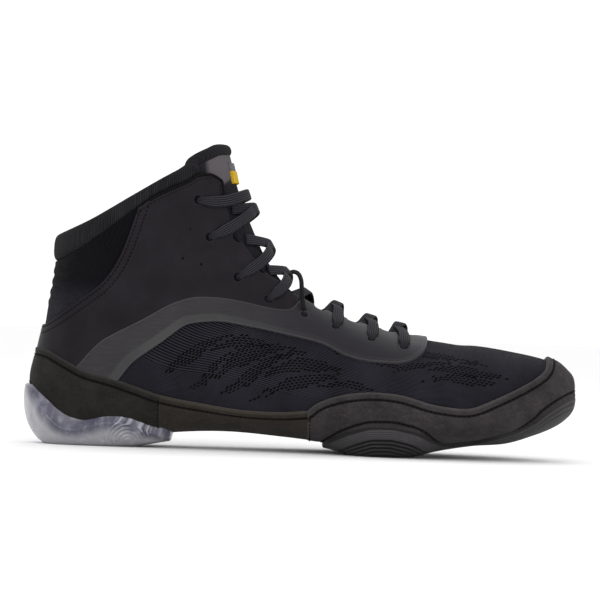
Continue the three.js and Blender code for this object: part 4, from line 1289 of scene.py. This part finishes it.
panel("upper_mesh", mesh_look, "mesh", ["upper"], upper_field, ALL_ROWS, (0.0, 1.0), 1.35,
      -WALL, 0.0, radius=0.6, levels=(0.6,))
panel("upper_lining", lining_look, "lining", [], upper_field, ALL_ROWS, (0.0, 1.0), 3.4, -WALL - 0.2, -WALL,
      radius=0.6, levels=(), creased=0.0)
panel("ankle_wrap", ankle_look, "synthetic", ["ankle_overlay"], ankle_field, (8.0, 27.0), ROUND, FINE,
      -0.1, OVERLAY_OUT, radius=0.6, shape=rear_seams)
panel("band_strip", grey_band_look, "band", ["eyestay_band"], band_field, (6.0, 21.0), ROUND, FINE,
      -0.1, BAND_OUT, radius=0.6, values=band_values)
for name, look, node, field, rows, outer, seams in (
        ("heel_suede", heel_suede, "heel_panel", heel_field, (13.0, 24.0), SUEDE_OUT, HEEL_SEAMS),
        ("arch_suede", arch_suede, "arch_panel", arch_field, (9.0, 15.5), SUEDE_OUT - 0.25, ARCH_SEAMS),
        ("toe_suede", toe_suede, "forefoot_panel", fore_field, (0.0, 11.5), SUEDE_OUT, TOE_SEAMS)):
    panel(name, look, "suede", [node], field, rows, ROUND, FINE, -0.1, outer,
          shape=suede_shape(seams), values=stitch_shade_value(seams), radius=0.9)


# Soles
def on_floor(points):
    points[:, 2] = np.maximum(points[:, 2], 0.0)
    return points


def side_mask(spot):
    """1 on the shoe's sides, 0 underneath."""
    return np.clip((np.abs(spot.n[..., 1]) - 0.35) / 0.2, 0, 1)


def heel_arcs(spot):
    x, z = from_photo(*ARC_CENTRE)
    away = np.hypot(spot.p[..., 0] - x, spot.p[..., 2] - z)
    fade = np.clip((ARC_REACH - away) / 2.0, 0, 1) * side_mask(spot)
    return fade * (0.5 + 0.5 * np.cos(2 * np.pi * away / RIB_PITCH))


def ball_mask(spot):
    x = spot.p[..., 0] / LENGTH
    return np.clip((x - BALL_FROM) / 0.008, 0, 1) * np.clip((BALL_TO - x) / 0.008, 0, 1)


def depth_below_lobe(spot):
    """Distance under the rubber's upper edge, as the side view shows it."""
    return -lobe.measure(spot.p)[0]


def ball_grooves(spot, f):
    deep = depth_below_lobe(spot)
    phase = np.mod(deep - FIRST_GROOVE, RIB_PITCH)
    groove = np.exp(-((np.minimum(phase, RIB_PITCH - phase)) / 0.42) ** 2) * (deep > FIRST_GROOVE - 0.6)
    return -0.6 * groove * ball_mask(spot) * side_mask(spot)


def toe_mask(spot):
    return np.clip((spot.p[..., 0] - TOE_FROM * LENGTH) / 6.0, 0, 1)


def heel_shape(spot, f):
    arcs = heel_arcs(spot)
    return 0.35 * (arcs - 0.5) * (arcs > 0)


def fore_values(spot, f):
    return {"ribs": ball_mask(spot), "toe": toe_mask(spot), "deep": depth_below_lobe(spot)}


panel("heel_rubber", heel_rubber_look, "heel_rubber", ["heel_unit"], lambda spot: -wave.side(spot),
      (12.6, 24.0), ROUND, FINE, GAP, RUBBER_OUT, radius=1.1, drop=1.0, creased=0.0, finish=on_floor,
      lift=2.0, ledge=True, values=lambda spot, f: {"arc": heel_arcs(spot)}, shape=heel_shape)
panel("fore_rubber", outsole_look, "black_rubber", ["forefoot_outsole"], lambda spot: -lobe.side(spot),
      (0.0, 10.9), ROUND, 0.62, GAP, RUBBER_OUT, radius=0.9, drop=1.0, creased=0.0,
      finish=on_floor, lift=2.0, ledge=True, values=fore_values, shape=ball_grooves)


# Inside: insole, tongue with its rolled top and label
def tongue_field(spot):
    reach = np.interp(spot.row, [TONGUE_FROM, 8.2, 18.0], [0.08, 0.10, 0.15])
    around = inside_reach(spot, reach)
    return least(around, (spot.row - TONGUE_FROM) * 10.0, -tongue_top.side(spot) - 3.5)


def label_field(spot):
    around = inside_reach(spot, LABEL_REACH)
    return least(around, (spot.row - 22) * 8.0, -tongue_top.side(spot) - BINDING_HEIGHT - 3.0)


def mark_field(spot):
    """The plain bar across the label, where the photo shows its mark."""
    around = inside_reach(spot, MARK_REACH)
    low, high = (from_photo(*place)[1] for place in MARK_PLACE)
    return least(around, spot.p[..., 2] - low, high - spot.p[..., 2])


def tongue_values(spot, f):
    """Satin cloth above the laces."""
    high = np.clip((spot.row - 22.2) * 3, 0, 1)
    return {"satin": high * np.clip((0.125 - np.abs(spot.turn - 0.5)) * 80, 0, 1)}


def insole_field(spot):
    around = (0.14 - np.minimum(spot.turn, 1 - spot.turn)) * 250.0
    return least(around, (spot.row - 1.7) * 8.0, (17.3 - spot.row) * 8.0)


panel("tongue_knit", tongue_look, "mesh", ["tongue"], tongue_field, (TONGUE_FROM, 27.0), FRONT,
      1.2, INSIDE - TONGUE_THICKNESS, INSIDE, radius=1.2, backed=True, creased=0.4,
      lift=-3.0, values=tongue_values)
panel("label_patch", label_look, "label", ["tongue_label"], label_field, (21.5, 27.0), (0.42, 0.58), 0.7,
      INSIDE, INSIDE + 1.1, radius=0.4, creased=0.4, lift=-1.5)
panel("label_bar", mustard_look, "label", [], mark_field, (21.0, 27.0), (0.42, 0.58), 0.5,
      INSIDE - 0.1, INSIDE + 1.6, radius=0.3, creased=0.4, lift=-1.0)
panel("insole_cloth", lining_look, "lining", ["insole"], insole_field, (1.7, 17.3), (-0.25, 0.25), 2.5,
      INSIDE - INSOLE_THICKNESS, INSIDE, radius=1.0, backed=True, creased=0.0)


def row_where(line, turn, offset, rows):
    """Row at which the face, at an offset, comes to a line of the side view, for each turn."""
    row, across = np.meshgrid(np.linspace(*rows, 220), turn, indexing="ij")
    p = last_point(row, across) + last_normal(row, across) * offset
    side = line.measure(p)[0]
    found = []
    for k in range(len(turn)):
        change = np.nonzero((side[:-1, k] < 0) & (side[1:, k] >= 0))[0]
        if len(change) == 0:
            found.append(np.nan)
            continue
        i = change[0]
        share = side[i, k] / (side[i, k] - side[i + 1, k])
        found.append(row[i, k] + share * (row[i + 1, k] - row[i, k]))
    return np.array(found)


def pad(name, material, slot, node, turn, low_row, high_row, middle, half, square, around=28):
    """A padded roll over the face between two rows for each turn, with rounded ends."""
    angle = np.arange(around) * 2 * np.pi / around
    out = np.sign(np.cos(angle)) * np.abs(np.cos(angle)) ** (2 / square)
    up = np.sign(np.sin(angle)) * np.abs(np.sin(angle)) ** (2 / square)
    row = (low_row + high_row)[:, None] / 2 + (high_row - low_row)[:, None] / 2 * up[None]
    across = np.broadcast_to(turn[:, None], row.shape)
    offset = middle[:, None] + half[:, None] * out[None]
    base = last_point(row, across)
    n = last_normal(row, across)
    points = base + n * (offset + 0.25 * crease(base, n) * (out[None] > 0))[..., None]
    uv = np.stack([row * ROW_MM, across * ROUND_MM], -1)
    made = keep(sweep(name, points, material, uv=uv), slot, node)
    return made


def ends(count, at_end, reach=4):
    """Factor that rounds a roll off at both ends."""
    k = np.minimum(np.arange(count), np.arange(count)[::-1]) / reach
    return at_end + (1 - at_end) * np.sqrt(1 - (1 - np.clip(k, 0, 1)) ** 2)


def make_cuff():
    turn = np.mod(np.linspace(0.5 + 0.097, 1.5 - 0.097, 420), 1.0)
    low = row_where(cuff_seam, turn, 0.5, (15.0, 27.0))
    high = row_where(collar, turn, -2.8, (15.0, 27.0))
    high = np.where(np.isnan(high), LAST_ROW - 0.2, high)
    middle_row = (low + high) / 2
    x = last_point(np.nan_to_num(middle_row, nan=20.0), turn)[:, 0]
    good = ~np.isnan(low) & (x < 0.304 * LENGTH) & (high > low)
    turn, low, high, x = turn[good], low[good], high[good], x[good]
    front = np.clip((x - 0.12 * LENGTH) / (0.17 * LENGTH), 0, 1)
    half = (4.2 - 2.0 * front) * ends(len(turn), 0.35, 8)
    centre = -2.8 + 1.2 * front
    middle_row = (low + high) / 2
    size = (high - low) / 2 * ends(len(turn), 0.5, 8)
    return pad("cuff_padding", cuff_look, "knit", "collar_cuff", turn, middle_row - size,
               middle_row + size, centre, half, 2.7, around=36)


def make_roll():
    turn = np.linspace(0.5 - 0.166, 0.5 + 0.166, 200)
    high = row_where(tongue_top, turn, -4.0, (19.0, 27.0))
    good = ~np.isnan(high)
    turn, high = turn[good], high[good]
    high = np.minimum(high, LAST_ROW)
    above, below = (last_point(np.full(len(turn), row), turn) for row in (25.5, 24.5))
    low = high - BINDING_HEIGHT / np.linalg.norm(above - below, axis=1)
    factor = ends(len(turn), 0.4, 6)
    middle_row = (low + high) / 2
    size = (high - low) / 2 * factor
    return pad("tongue_roll", cuff_look, "knit", "tongue_binding", turn, middle_row - size,
               middle_row + size, np.full(len(turn), -3.9), 3.0 * factor, 2.2, around=24)


make_cuff()
make_roll()


# Laces
def ribbon(name, place, width, thick, nodes=(), steps=44, start=0.0):
    """A flat woven strip swept along place(share, lift)."""
    share = np.linspace(start, 1, steps)
    centre = place(share, 0.0)
    ahead = np.gradient(centre, axis=0)
    ahead /= np.linalg.norm(ahead, axis=1)[:, None]
    up = place(share, 1.0) - centre
    up -= ahead * (up * ahead).sum(1)[:, None]
    up /= np.linalg.norm(up, axis=1)[:, None]
    across = np.cross(up, ahead)
    w = np.broadcast_to(width(share) if callable(width) else width, share.shape) / 2
    top = np.linspace(-1, 1, 23)
    edge = np.sqrt(1 - np.abs(top) ** 5) * 0.5
    ribs = 0.10 * np.cos(2 * np.pi * top * LACE_WIDTH / 2 / LACE_RIB)
    y = np.concatenate([top, top[::-1][1:-1]])
    z = np.concatenate([edge * thick + ribs * (edge > 0.2), -(edge[::-1][1:-1]) * thick])
    points = (centre[:, None] + across[:, None] * (y[None, :, None] * w[:, None, None])
              + up[:, None] * z[None, :, None])
    uv = np.stack(np.broadcast_arrays(run_along(centre)[:, None], (y * LACE_WIDTH / 2)[None]), -1)
    return keep(sweep(name, points, lace_material, uv=uv), "lace", *nodes)


def smoothstep(value, low, high):
    t = np.clip((value - low) / (high - low), 0, 1)
    return t * t * (3 - 2 * t)


def lace_strip(name, index, mirror, over, nodes=()):
    """One lace from an eyelet up over the ridge, under the other side's edge."""
    start, end = eyelets[index], eyelets[index - 1]
    end_turn = 0.5 + throat_reach(end[0]) - LACE_EDGE
    ridge = foot_on_ridge(start) + LACE_LEAN * (foot_on_ridge(end) - foot_on_ridge(start))

    def place(share, lift):
        turn = start[1] + share * (end_turn - start[1])
        row = lace_row(start, ridge, end, turn)
        dive = 1 - smoothstep(share, 0.0, 0.06)
        sink = smoothstep(turn, 0.495, end_turn)
        hump = np.exp(-((turn - 0.487) / 0.028) ** 2)
        height = LACE_LIFT + over * hump - (LACE_LIFT + 1.2) * sink - 3.4 * dive
        wave_up = 0.25 * np.sin(share * 9.0 + index * 1.7 + mirror)
        row = row + 0.012 * np.sin(share * 7.0 + index)
        where = np.where(mirror, 1 - turn, turn)
        return last_point(row, where) + last_normal(row, where) * (height + wave_up + lift)[:, None]

    def width(share):
        narrow = 0.58 + 0.42 * smoothstep(share, 0.02, 0.14)
        return LACE_WIDTH * narrow * (1 + 0.05 * np.sin(share * 11 + index))

    return ribbon(name, place, width, LACE_THICKNESS, nodes)


def top_bar(name, nodes):
    """The straight bar between the two lowest-numbered eyelets."""
    start = eyelets[0]
    ridge = foot_on_ridge(start) + LACE_LEAN * (foot_on_ridge(eyelets[1]) - foot_on_ridge(start))

    def place(share, lift):
        turn = start[1] + share * (1 - 2 * start[1])
        row = lace_row(start, ridge, start, turn)
        dive = 1 - smoothstep(np.minimum(share, 1 - share), 0.0, 0.035)
        height = LACE_LIFT + 0.3 * np.sin(share * 8.0) - 3.4 * dive
        return last_point(row, turn) + last_normal(row, turn) * (height + lift)[:, None]

    def width(share):
        return LACE_WIDTH * (0.62 + 0.38 * smoothstep(np.minimum(share, 1 - share), 0.01, 0.09))

    return ribbon(name, place, width, LACE_THICKNESS, nodes, steps=90)


top_bar("lace_1", ["lace_crossing_1"])
for index in range(1, len(eyelets)):
    if index != LOOSE_ROW:
        low_on_foot = index > LOOSE_ROW
        lace_strip(f"lace_{index + 1}_inner", index, False, 0.6 if low_on_foot else -0.2,
                   [f"lace_crossing_{index + 1}"])
        lace_strip(f"lace_{index + 1}_outer", index, True, 2.9 if low_on_foot else 1.5)
    else:
        lace_strip(f"lace_{index + 1}_outer", index, True, 0.6, [f"lace_crossing_{index + 1}"])


# Sewing
def sew(name, seam, allowed, rows, out, vs=ROUND, pitch=2.5, length=1.8, radius=0.36):
    """Stitches where seam(spot) is zero, as far as allowed(spot) is positive."""
    net = Sheet(rows, vs, 2.6)
    paths = stitch_paths(net, seam(Spot(net.row, net.v)), 0.0, allowed, out)
    return stitches("stitch_" + name, paths, thread_look, "suede", pitch, length, radius)


def beside(line, sign, distance):
    """Zero at this distance from a line."""
    return lambda spot: sign * line.side(spot) - distance


def inset(field, depth):
    """A piece's field, drawn in by this much."""
    return lambda spot: field(spot) - depth


def cuff_allowed(spot):
    return least(-cuff_seam.side(spot) - 1.5, rear_edge.side(spot), off_corner(spot) - 1.5,
                 off_throat(spot) - 1.5)


SUEDE_FACE = SUEDE_OUT - 0.28
for name, seam, allowed, rows, out in (
        ("heel_top", beside(*HEEL_SEAMS[0]), inset(heel_field, 2.0), (12.5, 24.0), SUEDE_FACE),
        ("arch_top", beside(*ARCH_SEAMS[0]), inset(arch_field, 2.0), (9.0, 15.5), SUEDE_FACE - 0.25),
        ("toe_top", beside(*TOE_SEAMS[0]), inset(fore_field, 2.0), (0.0, 11.5), SUEDE_FACE),
        ("toe_low", beside(*TOE_SEAMS[1]), inset(fore_field, 2.0), (0.0, 11.5), SUEDE_FACE),
        ("wave", beside(*HEEL_SEAMS[1]), inset(heel_field, 2.0), (12.5, 24.0), SUEDE_FACE),
        ("heel_seam", lambda spot: before_x(spot, heel_seam_x) - 1.8, inset(heel_field, 1.2),
         (12.5, 16.0), SUEDE_OUT - 0.05),
        ("fore_seam", lambda spot: -before_x(spot, fore_seam_x) - 1.9, inset(fore_field, 1.2),
         (9.5, 12.0), SUEDE_OUT - 0.05)):
    sew(name, seam, allowed, rows, out)
for name, seam, allowed, rows, out, vs in (
        ("rear_1", beside(rear_edge, 1, 1.6), inset(ankle_field, 1.0), (13.0, 27.0),
         OVERLAY_OUT - 0.15, ROUND),
        ("rear_2", beside(rear_edge, 1, 4.8), inset(ankle_field, 1.0), (13.0, 27.0),
         OVERLAY_OUT - 0.15, ROUND),
        ("throat", inset(off_throat, 2.2), lambda spot: least(ankle_field(spot) - 1.0, spot.row - 20.5),
         (16.0, 27.0), OVERLAY_OUT - 0.05, FRONT),
        ("cuff", beside(cuff_seam, -1, 2.4), cuff_allowed, (15.0, 27.0), OVERLAY_OUT - 0.05, ROUND)):
    sew(name, seam, allowed, rows, out, vs, **FINE_STITCH)


# Piping round the top of the ankle wrap
def make_piping():
    net = Sheet((18.0, 27.0), (0.2, 0.8), 2.0)
    spot = Spot(net.row, net.v)
    values = least(off_throat(spot), -corner_line.side(spot), -cuff_seam.side(spot))
    paths = stitch_paths(net, values, 0.35,
                         lambda s: np.minimum(s.row - 20.3, s.p[..., 0] - 0.215 * LENGTH),
                         OVERLAY_OUT - 0.1)
    for i, path in enumerate(paths):
        points = resample(path, 0.8)
        tube(f"piping_{i + 1}", points[:, :3], points[:, 3:], piping_look, "synthetic", 0.8, 0.75)


make_piping()


# Holes
def find_in_photo(px, py):
    """Row and turn of a place in the photo, on the inner side."""
    x, z = from_photo(px, py)
    up = z / INSTEP_HEIGHT if z <= INSTEP_HEIGHT else 1 + (z - INSTEP_HEIGHT) / SHAFT_RISE
    return find_on_last((x / LENGTH, up))


def per_step(row, turn):
    """The moves over the last for one row and for one turn."""
    by_row = (last_point(row + 0.02, turn) - last_point(row - 0.02, turn))[0] / 0.04
    by_turn = (last_point(row, turn + 0.001) - last_point(row, turn - 0.001))[0] / 0.002
    return by_row, by_turn


def slot_corners(row, turn, ahead, across, jitter):
    """Steps in row and turn from a streak's middle to the corners of a slot."""
    side = np.cross(last_normal(row, turn)[0], ahead)
    basis = np.stack(per_step(row, turn), 1)
    tilt = 0.18 + 0.12 * jitter
    corners = []
    for a, b in SLOT_SHAPE * (1.02 + 0.12 * jitter, 0.47 + 0.05 * jitter):
        move = ahead * (a * math.cos(tilt) - b * math.sin(tilt)) + side * (
            across + a * math.sin(tilt) + b * math.cos(tilt))
        corners.append(np.linalg.lstsq(basis, move, rcond=None)[0])
    return np.array(corners)


def slots():
    """Slot holes in the mesh, in staggered rows along the streaks, on both sides, drawn as dark patches of
    painted shade.
    """
    points, faces = [], []
    for number, (half, places) in enumerate(STREAKS):
        marks = np.array([find_in_photo(*place) for place in places])
        path = smooth_line(marks * (ROW_MM, ROUND_MM), pitch=0.6)
        rows_at, turns_at = path[:, 0] / ROW_MM, path[:, 1] / ROUND_MM
        run = run_along(last_point(rows_at, turns_at))
        lanes = int(half * 2 / SLOT_LANE) + 1
        for lane in range(lanes):
            across = (lane - (lanes - 1) / 2) * SLOT_LANE
            start = (lane % 2) * SLOT_PITCH / 2
            for k, at in enumerate(np.arange(start, run[-1], SLOT_PITCH)):
                share = at / run[-1]
                room = half * math.sin(math.pi * min(max(share, 0.02), 0.98)) ** 0.7
                jitter = math.sin(12.9898 * (number * 97 + lane * 13 + k) + 4.1)
                if abs(across) > room or jitter > 0.93:
                    continue
                row, near_row = (np.array([np.interp(at + step, run, rows_at)]) for step in (0, 1.0))
                turn, near_turn = (np.array([np.interp(at + step, run, turns_at)]) for step in (0, 1.0))
                ahead = last_point(near_row, near_turn)[0] - last_point(row, turn)[0]
                if np.linalg.norm(ahead) < 0.2:
                    continue
                ahead /= np.linalg.norm(ahead)
                corners = slot_corners(row, turn, ahead, across, jitter)
                for mirror in (False, True):
                    turn_here = turn + corners[:, 1]
                    where = 1 - turn_here if mirror else turn_here
                    base = len(points)
                    points.extend(face(row + corners[:, 0], where, np.full(6, 0.1)))
                    order = [0, 5, 4, 3, 2, 1] if mirror else [0, 1, 2, 3, 4, 5]
                    for i in range(1, 5):
                        faces.append((base + order[0], base + order[i], base + order[i + 1]))
    made = new_mesh("mesh_slots", np.array(points), np.array(faces), hole_shade_look, smooth=False)
    return keep(made, "mesh")


def pinholes():
    """Three small pinholes on the inner side of the ankle wrap, drawn as dark patches of painted shade."""
    points, faces = [], []
    around = np.arange(8) * TURN / 8
    for px, py, size in PINHOLES:
        row, turn = (np.array([value]) for value in find_in_photo(px, py))
        per_row, per_turn = (np.linalg.norm(move) for move in per_step(row, turn))
        base = len(points)
        points.extend(face(row + size * np.sin(around) / per_row, turn + size * np.cos(around) / per_turn,
                           np.full(8, OVERLAY_OUT + 0.06)))
        faces.extend((base, base + i + 1, base + i) for i in range(1, 7))
    made = new_mesh("wrap_pinhole_shade", np.array(points), np.array(faces), hole_shade_look, smooth=False)
    return keep(made, "synthetic")


slots()
pinholes()

# Floor and light
floor_mesh = bpy.data.meshes.new("floor")
floor_mesh.from_pydata([(-6, -6, 0), (6, -6, 0), (6, 6, 0), (-6, 6, 0)], [], [(0, 1, 2, 3)])
floor = bpy.data.objects.new("floor", floor_mesh)
bpy.context.scene.collection.objects.link(floor)
floor_look = bpy.data.materials.new("floor")
floor_look.use_nodes = True
floor_shader = next(n for n in floor_look.node_tree.nodes if n.type == "BSDF_PRINCIPLED")
floor_shader.inputs["Base Color"].default_value = (0.9, 0.9, 0.9, 1)
floor_shader.inputs["Roughness"].default_value = 0.9
floor_mesh.materials.append(floor_look)

world = bpy.data.worlds.new("studio")
bpy.context.scene.world = world
world.use_nodes = True
world.node_tree.nodes["Background"].inputs["Color"].default_value = (1, 1, 1, 1)
world.node_tree.nodes["Background"].inputs["Strength"].default_value = WORLD_LIGHT
bpy.context.scene.view_settings.view_transform = "Standard"


def soft_light(name, place, size, power):
    data = bpy.data.lights.new(name, "AREA")
    data.shape = "SQUARE"
    data.size = size
    data.energy = power
    light = bpy.data.objects.new(name, data)
    bpy.context.scene.collection.objects.link(light)
    light.location = place
    x, y, z = place
    target = (0.0, 0.0, 0.06)
    flat = math.hypot(x - target[0], y - target[1])
    tilt, heading = math.atan2(flat, z - target[2]), math.atan2(x - target[0], -(y - target[1]))
    light.rotation_euler = (tilt, 0.0, heading)
    return light


soft_light("key", (-0.4, -1.3, 0.75), 0.9, 6.0)
soft_light("fill", (0.9, -1.1, 0.6), 0.9, 4.0)
soft_light("back", (0.2, 1.0, 1.2), 0.9, 3.0)
